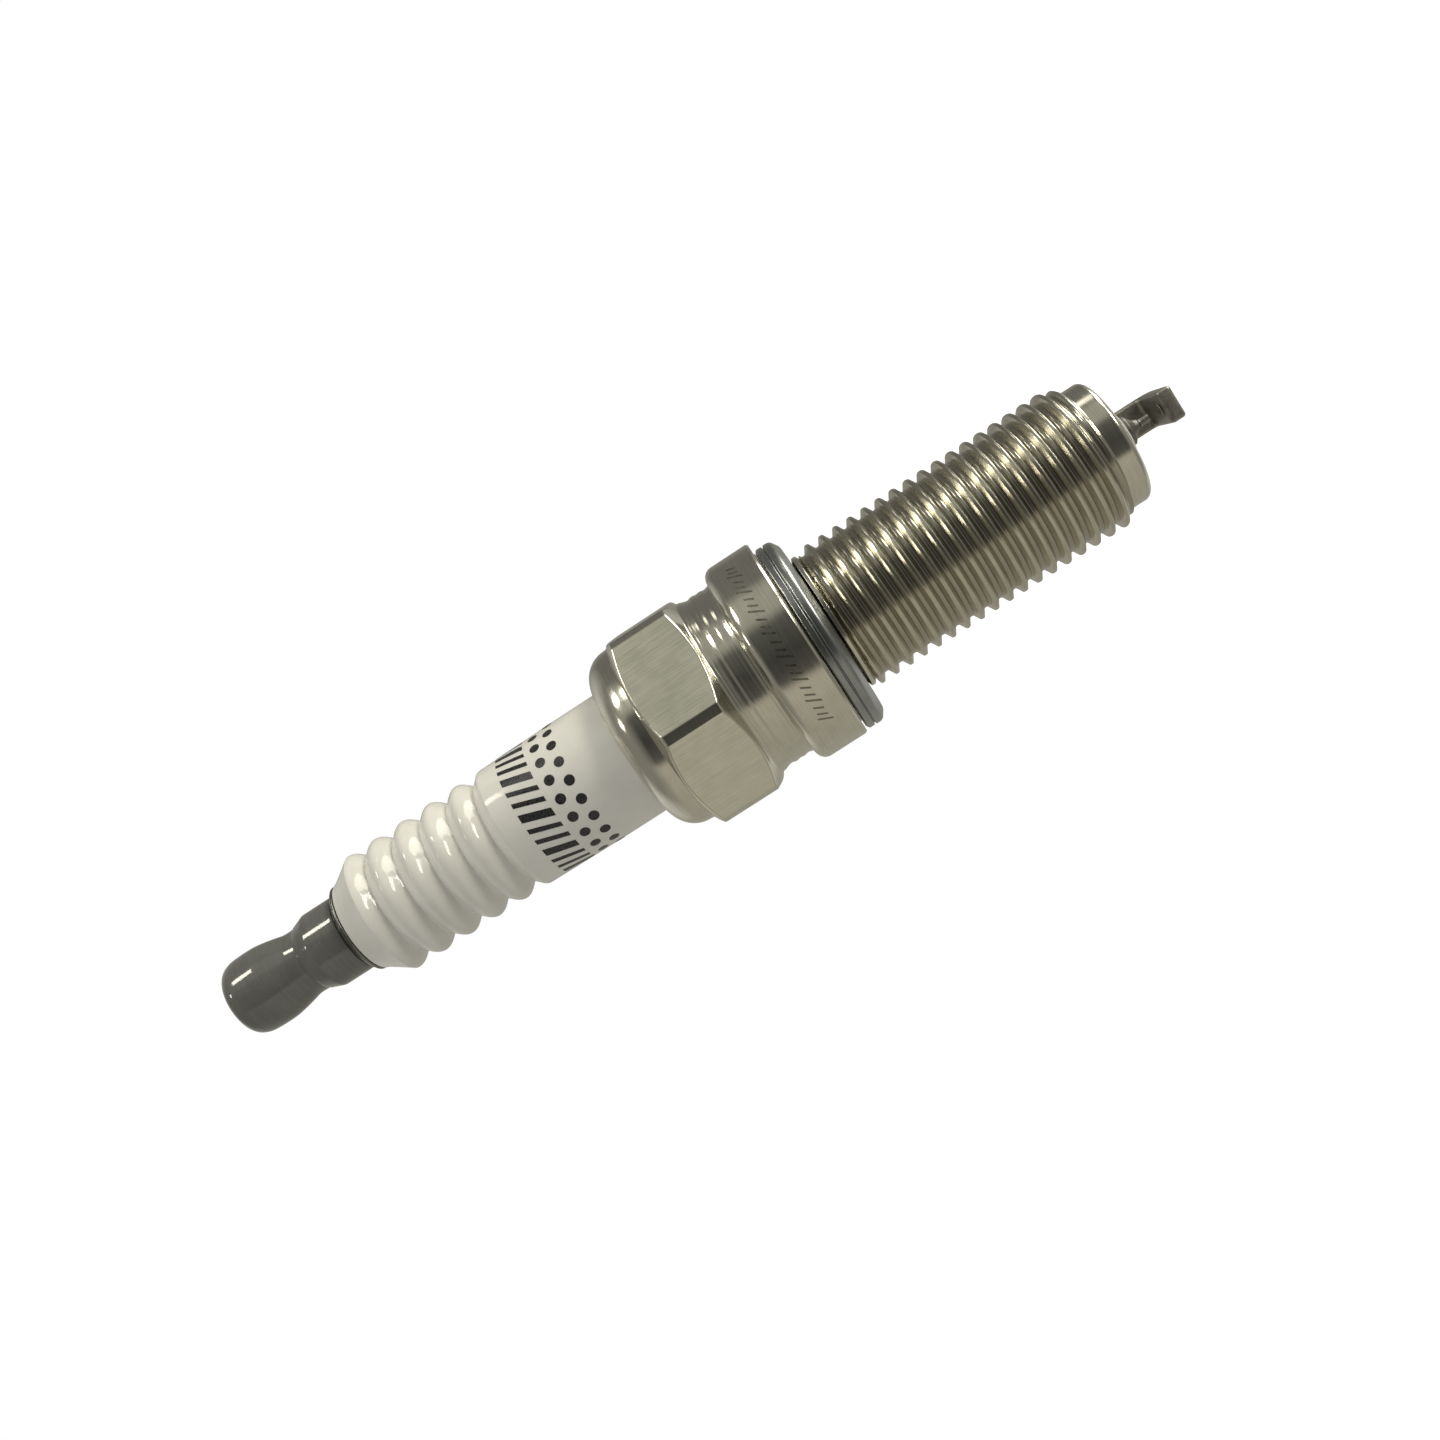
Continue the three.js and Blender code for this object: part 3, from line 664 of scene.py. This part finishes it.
def shell_flange():
    """The shoulder above the thread, the relief under the gasket, the flange and the neck."""
    flange = rounded([
        (THREAD_ROOT_R, THREAD_TOP_Z),
        (THREAD_SHOULDER_R, THREAD_TOP_Z + 0.2 * MM, 0.12 * MM),
        (THREAD_SHOULDER_R, -0.2 * MM, 0.12 * MM),
        (RELIEF_R, -0.05 * MM, 0.04 * MM),
        (RELIEF_R, FLANGE_STEP_Z, 0.2 * MM),
        (FLANGE_STEP_R, FLANGE_STEP_Z, 0.02 * MM),
        (FLANGE_STEP_R, FLANGE_LOW_Z, 0.02 * MM),
        (FLANGE_R - 0.12 * MM, FLANGE_LOW_Z, 0.05 * MM),
        (FLANGE_R, FLANGE_LOW_Z + 0.18 * MM, 0.08 * MM),
        (FLANGE_R, FLANGE_HIGH_Z, 0.85 * MM),
        (NECK_R, FLANGE_HIGH_Z + 0.02 * MM, 0.08 * MM),
    ])[:-1]
    under_hexagon = [
        (HEX_CHAMFER_R - 0.12 * MM, HEX_LOW_Z - 0.12 * MM),
        (HEX_CHAMFER_R - 0.035 * MM, HEX_LOW_Z - 0.02 * MM),
    ]
    return flange + neck_outline() + under_hexagon


def shell_crimp_and_bore():
    """The crimp roll over the hexagon, its lip, and the stepped bore down to the rim."""
    roll = arc(CRIMP_MOUTH_R, CRIMP_TOP_Z - CRIMP_ROLL, CRIMP_ROLL, 0, CRIMP_TURN, CRIMP_STEPS)
    lip_low_z = CRIMP_TOP_Z - LIP_THICKNESS
    bore = rounded([
        (CRIMP_MOUTH_R + 0.1 * MM, CRIMP_TOP_Z - 0.02 * MM),
        (CRIMP_MOUTH_R, CRIMP_TOP_Z - 0.1 * MM, 0.06 * MM),
        (CRIMP_MOUTH_R, lip_low_z, 0.1 * MM),
        (BODY_BORE_R, lip_low_z, 0.65 * MM),
        (BODY_BORE_R, BODY_BORE_LOW_Z, 0.2 * MM),
        (THREAD_BORE_R, THREAD_BORE_HIGH_Z, 0.2 * MM),
        (THREAD_BORE_R, THREAD_BORE_LOW_Z, 0.15 * MM),
        (SEAT_BORE_R, SEAT_HIGH_Z, 0.1 * MM),
        (SEAT_BORE_R, SEAT_LOW_Z, 0.2 * MM),
        (CHAMBER_R, CHAMBER_HIGH_Z, 0.2 * MM),
        (CHAMBER_R, RIM_Z + 0.6 * MM),
    ])[:-1]
    return [(HEX_CHAMFER_R - 0.02 * MM, HEX_HIGH_Z)] + roll + bore


# places of the shell's finishes among its materials
TURNED_FINISH, FLAT_FINISH, THREAD_FINISH = 0, 1, 2


def build_shell():
    """Crimp roll, hexagon, neck, flange, thread, plain end and bores as one closed surface."""
    bm = bmesh.new()
    angles = shell_angles()
    end_rings = lathe_rings(bm, shell_end(), angles)
    flange_rings = lathe_rings(bm, shell_flange(), angles)
    hexagon = hex_rings(bm, angles)
    top_rings = lathe_rings(bm, shell_crimp_and_bore(), angles)
    flats_band = len(flange_rings) + len(HEX_EDGE_BANDS) - 1

    def finish_of(band, column):
        step = (angles[(column + 1) % len(angles)] - angles[column]) % (2 * math.pi)
        in_flat = hex_radius(angles[column] + step / 2) < HEX_CORNER_R
        return FLAT_FINISH if band == flats_band and in_flat else TURNED_FINISH

    skin_rings(bm, end_rings)
    skin_rings(bm, flange_rings + hexagon + top_rings + [end_rings[0]], finish_of)
    add_thread(bm, angles, THREAD_END_Z, THREAD_TOP_Z, THREAD_ROOT_R, THREAD_CREST_R,
               THREAD_PITCH, THREAD_RUNOUTS, THREAD_ROWS, THREAD_LEAD, material_index=THREAD_FINISH)
    finished(bm, "shell", [nickel, nickel_flat, nickel_thread], "plug",
             ["metal_shell"], sharp=math.radians(40))


def build_gasket():
    """A folded ring: a crowned fold on the sealing side, a groove, and a thin fold above."""
    outer = (gasket_high.x - gasket_low.x) / 2
    centre = ((gasket_high.x + gasket_low.x) / 2, 0)
    crown_start = (GASKET_INNER_R + 0.9 * MM, gasket_low.z)
    outline = rounded([
        crown_start,
        (outer - 0.75 * MM, gasket_low.z + 0.01 * MM, 0.6 * MM),
        (outer - 0.02 * MM, gasket_low.z + 0.5 * MM, 0.5 * MM),
        (outer, GASKET_GROOVE_Z - 0.06 * MM, 0.12 * MM),
        (outer - GASKET_GROOVE, GASKET_GROOVE_Z, 0.03 * MM),
        (outer - 0.02 * MM, GASKET_GROOVE_Z + 0.08 * MM, 0.08 * MM),
        (outer - 0.02 * MM, gasket_high.z - 0.18 * MM, 0.12 * MM),
        (outer - 0.3 * MM, gasket_high.z, 0.1 * MM),
        (GASKET_INNER_R, gasket_high.z, 0.35 * MM),
        (GASKET_INNER_R, gasket_low.z, 0.35 * MM),
        crown_start,
    ])[:-1]
    lathe("gasket", outline, gasket_steel, "gasket", ["crush_gasket"],
          closed=True, centre=centre)


# ---------------------------------------------------------------- insulator

def rib_outline():
    """Rounded ribs from the lowest valley up to the top crest."""
    low_crest = RIB_TOP_Z - (RIB_COUNT - 1) * RIB_PITCH
    points = []
    for i in range(RIB_STEPS * RIB_COUNT - RIB_STEPS // 2 + 1):
        turns = i / RIB_STEPS - 0.5
        rise = (0.5 + 0.5 * math.cos(2 * math.pi * turns)) ** RIB_FULLNESS
        radius = RIB_VALLEY_R + (RIB_CREST_R - RIB_VALLEY_R) * rise
        points.append((radius, low_crest + turns * RIB_PITCH))
    return points


def build_insulator():
    """Nose, stem, hidden shoulder, barrel, ribs, terminal end and stepped bore, as one turned body."""
    ribs = rib_outline()
    shoulder_r = insulator_high.x
    below = rounded([
        (LOWER_BORE_R, insulator_low.z + 0.2 * MM),
        (LOWER_BORE_R, insulator_low.z, 0.06 * MM),
        (NOSE_TIP_R, insulator_low.z, 0.25 * MM),
        (NOSE_R, NOSE_LOW_Z, 0.3 * MM),
        (NOSE_R, NOSE_HIGH_Z, 0.1 * MM),
        (STEM_R, STEM_LOW_Z, 0.2 * MM),
        (STEM_R, STEM_HIGH_Z, 0.3 * MM),
        (shoulder_r, SHOULDER_LOW_Z, 0.3 * MM),
        (shoulder_r, SHOULDER_HIGH_Z, 0.3 * MM),
        (BARREL_R, BARREL_LOW_Z, 0.2 * MM),
        (BARREL_R, BARREL_BEND_Z),
        (BARREL_TOP_R, BARREL_TOP_Z, 0.5 * MM),
        ribs[0],
    ])[:-1]
    above = rounded([
        ribs[-1],
        (4.4 * MM, RIB_TOP_Z + 1.0 * MM, 1.5 * MM),
        (3.92 * MM, insulator_high.z - 0.45 * MM, 0.5 * MM),
        (INSULATOR_TOP_R - 0.1 * MM, insulator_high.z, 0.3 * MM),
        (UPPER_BORE_R, insulator_high.z, 0.15 * MM),
        (UPPER_BORE_R, UPPER_BORE_LOW_Z, 0.1 * MM),
        (LOWER_BORE_R, LOWER_BORE_HIGH_Z, 0.1 * MM),
        (LOWER_BORE_R, insulator_low.z + 0.2 * MM),
    ])[1:-1]
    lathe("insulator_body", below + ribs + above, glaze, "plug",
          ["insulator"], closed=True)


def barrel_radius(z):
    """Radius of the insulator's plain barrel, which narrows slightly towards the ribs."""
    share = min(1.0, max(0.0, (z - BARREL_BEND_Z) / (BARREL_TOP_Z - BARREL_BEND_Z)))
    return BARREL_R + (BARREL_TOP_R - BARREL_R) * share


def add_patch(bm, angle, width, low_z, high_z, radius_at, lift, slant=0.0):
    """A thin curved plate that follows a turned surface; a slant turns its top round the axis."""
    count = max(1, math.ceil(width / MARK_STEP))
    rises = max(1, math.ceil(abs(slant) / MARK_STEP))
    levels = [(-lift, 0.0)] + [(lift, k / rises) for k in range(rises + 1)] + [(-lift, 1.0)]
    rows = []
    for out, share in levels:
        z = low_z + (high_z - low_z) * share
        start = angle + slant * share
        turns = [start + width * i / count for i in range(count + 1)]
        rows.append([bm.verts.new(polar(radius_at(z) + out, turn, z)) for turn in turns])
    for low, high in zip(rows, rows[1:] + rows[:1]):
        for i in range(count):
            bm.faces.new((low[i], low[i + 1], high[i + 1], high[i]))
    bm.faces.new([row[0] for row in rows])
    bm.faces.new([row[-1] for row in reversed(rows)])


def add_dot(bm, angle, middle_z, radius, radius_at, lift):
    """A thin round plate on a turned surface."""
    rings = []
    for out in (-lift, lift):
        ring = []
        for i in range(DOT_SIDES):
            a = 2 * math.pi * i / DOT_SIDES
            z = middle_z + radius * math.sin(a)
            turn = angle + radius * math.cos(a) / radius_at(z)
            ring.append(bm.verts.new(polar(radius_at(z) + out, turn, z)))
        rings.append(ring)
    top = bm.verts.new(polar(radius_at(middle_z) + lift, angle, middle_z))
    skin_rings(bm, rings + [[top]])


def build_print():
    """Plain marks round half the barrel: a row of slanted bars, and a staggered double row of dots."""
    bm = bmesh.new()
    angle, k = PRINT_START, 0
    while angle < PRINT_END:
        width = BAR_NARROW if k % 3 else BAR_WIDE
        add_patch(bm, angle, width, BAR_ROW_Z, BAR_ROW_Z + BAR_TALL, barrel_radius, MARK_LIFT,
                  slant=BAR_SLANT)
        angle += width + BAR_SPACE
        k += 1
    angle, k = PRINT_START, 0
    while angle < PRINT_END:
        add_dot(bm, angle, DOT_ROW_Z + (k % 2) * DOT_STAGGER, DOT_R, barrel_radius, MARK_LIFT)
        angle += DOT_SPACING
        k += 1
    finished(bm, "print_marks", [print_ink], "plug")


def build_stamp():
    """Plain slanted strokes round the front of the flange: thin dark plates that paint the shade of
    stamped dents.
    """
    bm = bmesh.new()
    angle, k = STAMP_START, 0
    while angle < STAMP_END:
        tall = STROKE_SHORT if k % 3 else STROKE_LONG
        low_z = STAMP_Z - tall / 2
        add_patch(bm, angle, STROKE_WIDTH, low_z, low_z + tall, lambda z: FLANGE_R, MARK_LIFT / 2,
                  slant=STROKE_SLANT * tall / FLANGE_R)
        angle += STROKE_SPACING
        k += 1
    finished(bm, "stamp_marks", [stamp_dent_shade_metal], "plug")


# ---------------------------------------------------------------- terminal

def build_stud():
    """Rod, collar on the insulator and M4 thread."""
    bm = bmesh.new()
    angles = even_angles(STUD_COLUMNS)
    collar_low = insulator_high.z + 0.05 * MM
    thread_low = STUD_COLLAR_HIGH_Z + 0.15 * MM
    thread_high = stud_high.z - 0.45 * MM
    below = rounded([
        (0, stud_low.z),
        (STUD_ROD_R, stud_low.z, 0.25 * MM),
        (STUD_ROD_R, collar_low - 2.0 * MM, 0.1 * MM),
        (STUD_NECK_R, collar_low - 1.8 * MM, 0.1 * MM),
        (STUD_NECK_R, collar_low, 0.05 * MM),
        (STUD_COLLAR_R, collar_low, 0.1 * MM),
        (STUD_COLLAR_R - 0.04 * MM, collar_low + 0.15 * MM, 0.08 * MM),
        (STUD_COLLAR_R - 0.45 * MM, STUD_COLLAR_HIGH_Z - 0.05 * MM, 0.2 * MM),
        (STUD_ROOT_R, STUD_COLLAR_HIGH_Z, 0.04 * MM),
        (STUD_ROOT_R, thread_low),
    ])
    above = [(STUD_ROOT_R, thread_high), (STUD_ROOT_R - 0.1 * MM, stud_high.z), (0, stud_high.z)]
    skin_rings(bm, lathe_rings(bm, below, angles))
    skin_rings(bm, lathe_rings(bm, above, angles))
    add_thread(bm, angles, thread_low, thread_high, STUD_ROOT_R, STUD_CREST_R,
               STUD_THREAD_PITCH, STUD_RUNOUTS, STUD_THREAD_ROWS)
    finished(bm, "stud", [stud_steel], "plug", ["terminal_stud"])


def build_nut():
    """Barrel head, waist and shoulder, turned in one piece and open below."""
    head_r = nut_high.x
    base = nut_low.z
    bore_top = base + NUT_BORE_DEPTH
    bore = rounded([
        (0, bore_top),
        (NUT_BORE_R - 0.5 * MM, bore_top, 0.1 * MM),
        (NUT_BORE_R, bore_top - 0.45 * MM, 0.1 * MM),
        (NUT_BORE_R, base + 0.3 * MM),
    ])[:-1]
    skirt = rounded([
        (NUT_BORE_R, base + 0.3 * MM),
        (NUT_BORE_R, base, 0.1 * MM),
        (head_r, base, 0.12 * MM),
        (head_r, base + 0.5 * MM),
    ])[:-1]
    shoulder = rounded([
        (head_r, base + 0.5 * MM),
        (head_r, base + 2.75 * MM, 0.6 * MM),
        (NUT_WAIST_R + 0.14 * MM, base + 3.75 * MM, 0.1 * MM),
        (NUT_WAIST_R + 0.05 * MM, base + 3.85 * MM),
    ])
    head = smooth_line([
        (NUT_WAIST_R + 0.03 * MM, base + 3.95 * MM),
        (NUT_WAIST_R, base + 4.4 * MM),
        (NUT_WAIST_R + 0.02 * MM, base + 5.0 * MM),
        (NUT_WAIST_R + 0.18 * MM, base + 5.7 * MM),
        (head_r - 0.13 * MM, base + 6.7 * MM),
        (head_r, base + 7.7 * MM),
        (head_r - 0.01 * MM, nut_high.z - 1.75 * MM),
        (head_r - 0.12 * MM, nut_high.z - 1.0 * MM),
        (head_r - 0.42 * MM, nut_high.z - 0.45 * MM),
        (head_r - 0.95 * MM, nut_high.z - 0.14 * MM),
        (1.2 * MM, nut_high.z - 0.03 * MM),
        (0, nut_high.z),
    ])
    lathe("nut", bore + skirt + shoulder + head, terminal_black, "nut",
          ["terminal_nut"])


# ---------------------------------------------------------------- firing end

def strap_section():
    """The outline of the strap's section: offsets across it and through it."""
    across, through = STRAP_WIDTH / 2 - STRAP_CORNER, STRAP_THICKNESS / 2 - STRAP_CORNER
    section = []
    for side, face, start in ((1, 1, 0), (-1, 1, 90), (-1, -1, 180), (1, -1, 270)):
        for w, t in arc(side * across, face * through, STRAP_CORNER, start, start + 90, 4):
            section.append((w, t))
    return section


def strap_path():
    """Radius, height and bend angle along the middle of the strap: leg, bend, arm."""
    arm_z = strap_low.z + STRAP_THICKNESS / 2
    bend_r, bend_z = STRAP_LEG_R - STRAP_BEND_R, arm_z + STRAP_BEND_R
    path = []
    for i in range(STRAP_LEG_STEPS + 1):
        path.append((STRAP_LEG_R, RIM_Z + (bend_z - RIM_Z) * i / STRAP_LEG_STEPS, 0.0))
    for i in range(1, STRAP_BEND_STEPS + 1):
        a = math.radians(90 * i / STRAP_BEND_STEPS)
        path.append((bend_r + STRAP_BEND_R * math.cos(a), bend_z - STRAP_BEND_R * math.sin(a), a))
    for i in range(1, STRAP_ARM_STEPS + 1):
        path.append((bend_r - (bend_r + STRAP_REACH) * i / STRAP_ARM_STEPS, arm_z, math.radians(90)))
    return path


def build_strap():
    """The ground electrode: the section swept down the leg, round the bend and inwards, with a swollen
    weld at the rim and a softened edge at its end."""
    bm = bmesh.new()
    section = strap_section()
    turn = Matrix.Rotation(STRAP_ANGLE, 4, "Z")

    def ring_at(r, z, a, swell=0.0):
        ring = []
        for w, t in section:
            w *= 1 + 2 * swell / STRAP_WIDTH
            t *= 1 + 2 * swell / STRAP_THICKNESS
            point = Vector((r + t * math.cos(a), w, z - t * math.sin(a)))
            ring.append(bm.verts.new(turn @ point))
        return ring

    path = strap_path()
    rings = [ring_at(*path[0], swell=STRAP_WELD_SWELL)]
    rings += [ring_at(*place) for place in path[1:-1]]
    end_r, end_z, end_turn = path[-1]
    for back, inset in ((1.0, 0.0), (0.3, 0.3), (0.0, 1.0)):
        near_end_r = end_r + back * STRAP_END_EDGE
        rings.append(ring_at(near_end_r, end_z, end_turn, swell=-inset * STRAP_END_EDGE))
    skin_rings(bm, rings)
    bm.faces.new(rings[0])
    bm.faces.new(rings[-1])
    bmesh.ops.recalc_face_normals(bm, faces=bm.faces)
    finished(bm, "ground_strap", [electrode_alloy], "plug",
             ["ground_electrode"], sharp=math.radians(50))


def build_firing_end():
    """Centre electrode with its bore for the copper core, fine wire, and pad on the strap, all coloured
    dark as painted shade.
    """
    head_low, head_high = ELECTRODE_HEAD_LOW_Z, electrode_high.z
    lathe("electrode_centre", rounded([
        (0, electrode_low.z),
        (0.42 * MM, electrode_low.z, 0.06 * MM),
        (0.5 * MM, electrode_low.z + 0.3 * MM, 0.1 * MM),
        (ELECTRODE_R, electrode_low.z + 0.85 * MM, 0.15 * MM),
        (ELECTRODE_R, head_low - 0.5 * MM, 0.05 * MM),
        (ELECTRODE_HEAD_R, head_low, 0.05 * MM),
        (ELECTRODE_HEAD_R, head_high, 0.1 * MM),
        (CORE_R, head_high, 0.05 * MM),
        (CORE_R, CORE_LOW_Z, 0.05 * MM),
        (0, CORE_LOW_Z),
    ]), electrode_nose_painted_shade, "plug", ["centre_electrode"], columns=ELECTRODE_COLUMNS)
    lathe("fine_wire_tip", rounded([
        (0, wire_low.z),
        (WIRE_R, wire_low.z, 0.03 * MM),
        (WIRE_R, wire_high.z - 0.12 * MM, 0.05 * MM),
        (WIRE_WELD_R, wire_high.z, 0.04 * MM),
        (0, wire_high.z),
    ]), noble_metal, "plug", ["iridium_tip"], columns=TIP_COLUMNS)
    lathe("strap_pad", rounded([
        (0, pad_low.z),
        (PAD_R, pad_low.z, 0.02 * MM),
        (PAD_R - 0.02 * MM, pad_high.z, 0.04 * MM),
        (0, pad_high.z),
    ]), noble_metal, "plug", ["ground_pad"], columns=TIP_COLUMNS)


# ---------------------------------------------------------------- sealed pieces

SEALED_FINISHES = {
    "upper_packing_ring": ring_steel,
    "lower_packing_ring": ring_steel,
    "seat_packing": ring_steel,
    "talc_packing": talc_powder,
    "upper_glass_seal": seal_glass,
    "lower_glass_seal": seal_glass,
    "resistor": carbon_body,
    "copper_core": copper_metal,
}


def finish_sealed_pieces():
    """The pieces sealed inside keep their CAD shape and get their own finish."""
    for name, material in SEALED_FINISHES.items():
        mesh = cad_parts[name].data
        mesh.materials.clear()
        mesh.materials.append(material)


# ---------------------------------------------------------------- studio

def build_camera():
    """A camera in front of the plug, rolled so that the firing end points up to the right."""
    rise, side, roll = CAMERA_UP_TURN, CAMERA_SIDE_TURN, CAMERA_ROLL
    level = math.cos(side)
    forward = Vector((-math.sin(side), math.cos(rise) * level, math.sin(rise) * level))
    along = Vector((0, math.sin(rise), -math.cos(rise)))
    across = forward.cross(along)
    right = math.cos(roll) * along + math.sin(roll) * across
    up = math.sin(roll) * along - math.cos(roll) * across
    data = bpy.data.cameras.new("camera")
    data.lens = CAMERA_LENS
    data.sensor_width = CAMERA_SENSOR
    data.clip_start = 5 * MM
    camera = bpy.data.objects.new("camera", data)
    place = Matrix.Translation((0, -CAMERA_DISTANCE, CAMERA_HEIGHT))
    camera.matrix_world = place @ Matrix((right, up, -forward)).transposed().to_4x4()
    bpy.context.scene.collection.objects.link(camera)
    bpy.context.scene.camera = camera


# the studio round the plug: an angle in degrees from the camera's side, upwards in the view, and its
# colour
PANELS = (
    (-180, (0.36, 0.35, 0.305)),
    (-95, (0.37, 0.355, 0.295)),
    (-35, (0.45, 0.425, 0.35)),
    (-27, (0.075, 0.073, 0.065)),
    (0, (0.05, 0.05, 0.045)),
    (33, (0.10, 0.10, 0.088)),
    (44, (0.38, 0.375, 0.325)),
    (72, (0.38, 0.375, 0.325)),
    (84, (0.17, 0.167, 0.15)),
    (140, (0.17, 0.167, 0.15)),
    (180, (0.36, 0.35, 0.305)),
)
END_GREY = (0.24, 0.235, 0.205)
END_PALE = (0.75, 0.74, 0.68)
WHITE = (1.0, 1.0, 1.0)

WARM = (1.0, 0.97, 0.84)
LIGHT_TARGET_Z = 12 * MM
PANEL_DISTANCE = 0.9
FILL_DISTANCE = 0.5

FLOOR_HALF_WIDTH = 1.2
FLOOR_GLOW = 0.88


def build_world():
    """Pale panels round the plug's axis with a dark camera side between them, and plain ends along the
    axis, paler at the back. The camera itself sees plain white."""
    world = bpy.data.worlds.new("studio")
    bpy.context.scene.world = world
    world.use_nodes = True
    tree = world.node_tree
    direction = tree.nodes.new("ShaderNodeSeparateXYZ")
    tree.links.new(tree.nodes.new("ShaderNodeTexCoord").outputs["Generated"], direction.inputs[0])
    toward_front = math_node(tree, "MULTIPLY", direction.outputs["Y"], -1.0)
    angle = math_node(tree, "ARCTAN2", direction.outputs["X"], toward_front)
    share = math_node(tree, "ADD", math_node(tree, "DIVIDE", angle, 2 * math.pi), 0.5)
    panels = ramp(tree, share, [(degrees / 360 + 0.5, colour) for degrees, colour in PANELS])
    backness = mapped(tree, direction.outputs["Y"], 0.1, 0.7, 0.0, 1.0)
    ends = ramp(tree, backness, [(0.0, END_GREY), (1.0, END_PALE)])
    endness = mapped(tree, math_node(tree, "ABSOLUTE", direction.outputs["Z"]), 0.35, 0.8, 0.0, 1.0)
    studio = mixed(tree, endness, panels, ends)
    seen = tree.nodes.new("ShaderNodeLightPath").outputs["Is Camera Ray"]
    tree.links.new(mixed(tree, seen, studio, WHITE), tree.nodes["Background"].inputs["Color"])


def add_light(name, round_axis, along_axis, distance, size, power, colour=WHITE, glossy=True,
              length=None):
    """A square area light, or a panel whose length runs along the axis, aimed at the plug's middle. It
    stands at an angle round the axis from the camera's side, upwards in the view, and at an angle
    towards the terminal."""
    a, e = math.radians(round_axis), math.radians(along_axis)
    away = Vector((math.sin(a) * math.cos(e), -math.cos(a) * math.cos(e), math.sin(e)))
    data = bpy.data.lights.new(name, "AREA")
    data.shape = "RECTANGLE"
    data.size = size
    data.size_y = length or size
    data.energy = power
    data.color = colour
    light = bpy.data.objects.new(name, data)
    light.location = Vector((0, 0, LIGHT_TARGET_Z)) + away * distance
    across = Vector((0, 0, 1)).cross(away).normalized()
    light.rotation_euler = Matrix((across, away.cross(across), away)).transposed().to_euler()
    light.visible_glossy = glossy
    light.visible_camera = False
    bpy.context.scene.collection.objects.link(light)


def build_lights():
    """Panels that make the highlights, and soft fills that make none."""
    add_light("key_terminal_side", 65, 26, PANEL_DISTANCE, 0.15, 1.5, WARM, length=0.26)
    add_light("key_firing_side", 91, -16, PANEL_DISTANCE, 0.17, 0.14, WARM)
    add_light("glint_terminal_side", 46, 56, PANEL_DISTANCE, 0.08, 0.3, WARM)
    add_light("edge_upper", 98, -44, PANEL_DISTANCE, 0.62, 3.3, WARM, length=0.28)
    add_light("edge_lower", 48, -55, PANEL_DISTANCE, 0.36, 2.3, WARM, length=0.14)
    add_light("fill_top", 88, 8, FILL_DISTANCE, 0.5, 0.4, WARM, glossy=False)
    add_light("fill_front", -25, 20, FILL_DISTANCE, 0.4, 0.42, glossy=False)
    add_light("fill_back", 180, 8, FILL_DISTANCE, 0.5, 0.5, glossy=False)


def build_floor():
    """A plain pale floor under the lowest point, lit from within so that it stays near white."""
    material, tree, shader = new_material("floor")
    speckle = noise(tree, object_position(tree), 0.075 / MM, detail=2.0)
    tree.links.new(ramp(tree, speckle, [(0.3, (0.5, 0.5, 0.5)), (0.7, (0.52, 0.52, 0.52))]),
                   shader.inputs["Base Color"])
    shader.inputs["Roughness"].default_value = 0.9
    shader.inputs["Specular IOR Level"].default_value = 0.1
    shader.inputs["Emission Color"].default_value = (*WHITE, 1.0)
    shader.inputs["Emission Strength"].default_value = FLOOR_GLOW
    bm = bmesh.new()
    half, height = FLOOR_HALF_WIDTH, strap_low.z - 0.05 * MM
    corners = ((-half, -half), (half, -half), (half, half), (-half, half))
    bm.faces.new([bm.verts.new((x, y, height)) for x, y in corners])
    mesh = bpy.data.meshes.new("floor")
    bm.to_mesh(mesh)
    bm.free()
    mesh.materials.append(material)
    floor = bpy.data.objects.new("floor", mesh)
    floor.visible_glossy = False
    floor.visible_diffuse = False
    floor.visible_shadow = False
    bpy.context.scene.collection.objects.link(floor)


# ---------------------------------------------------------------- scene

build_camera()
build_world()
build_lights()
build_floor()
build_shell()
build_gasket()
build_insulator()
build_print()
build_stamp()
build_stud()
build_nut()
build_strap()
build_firing_end()
finish_sealed_pieces()
bpy.context.scene.view_settings.view_transform = "Standard"
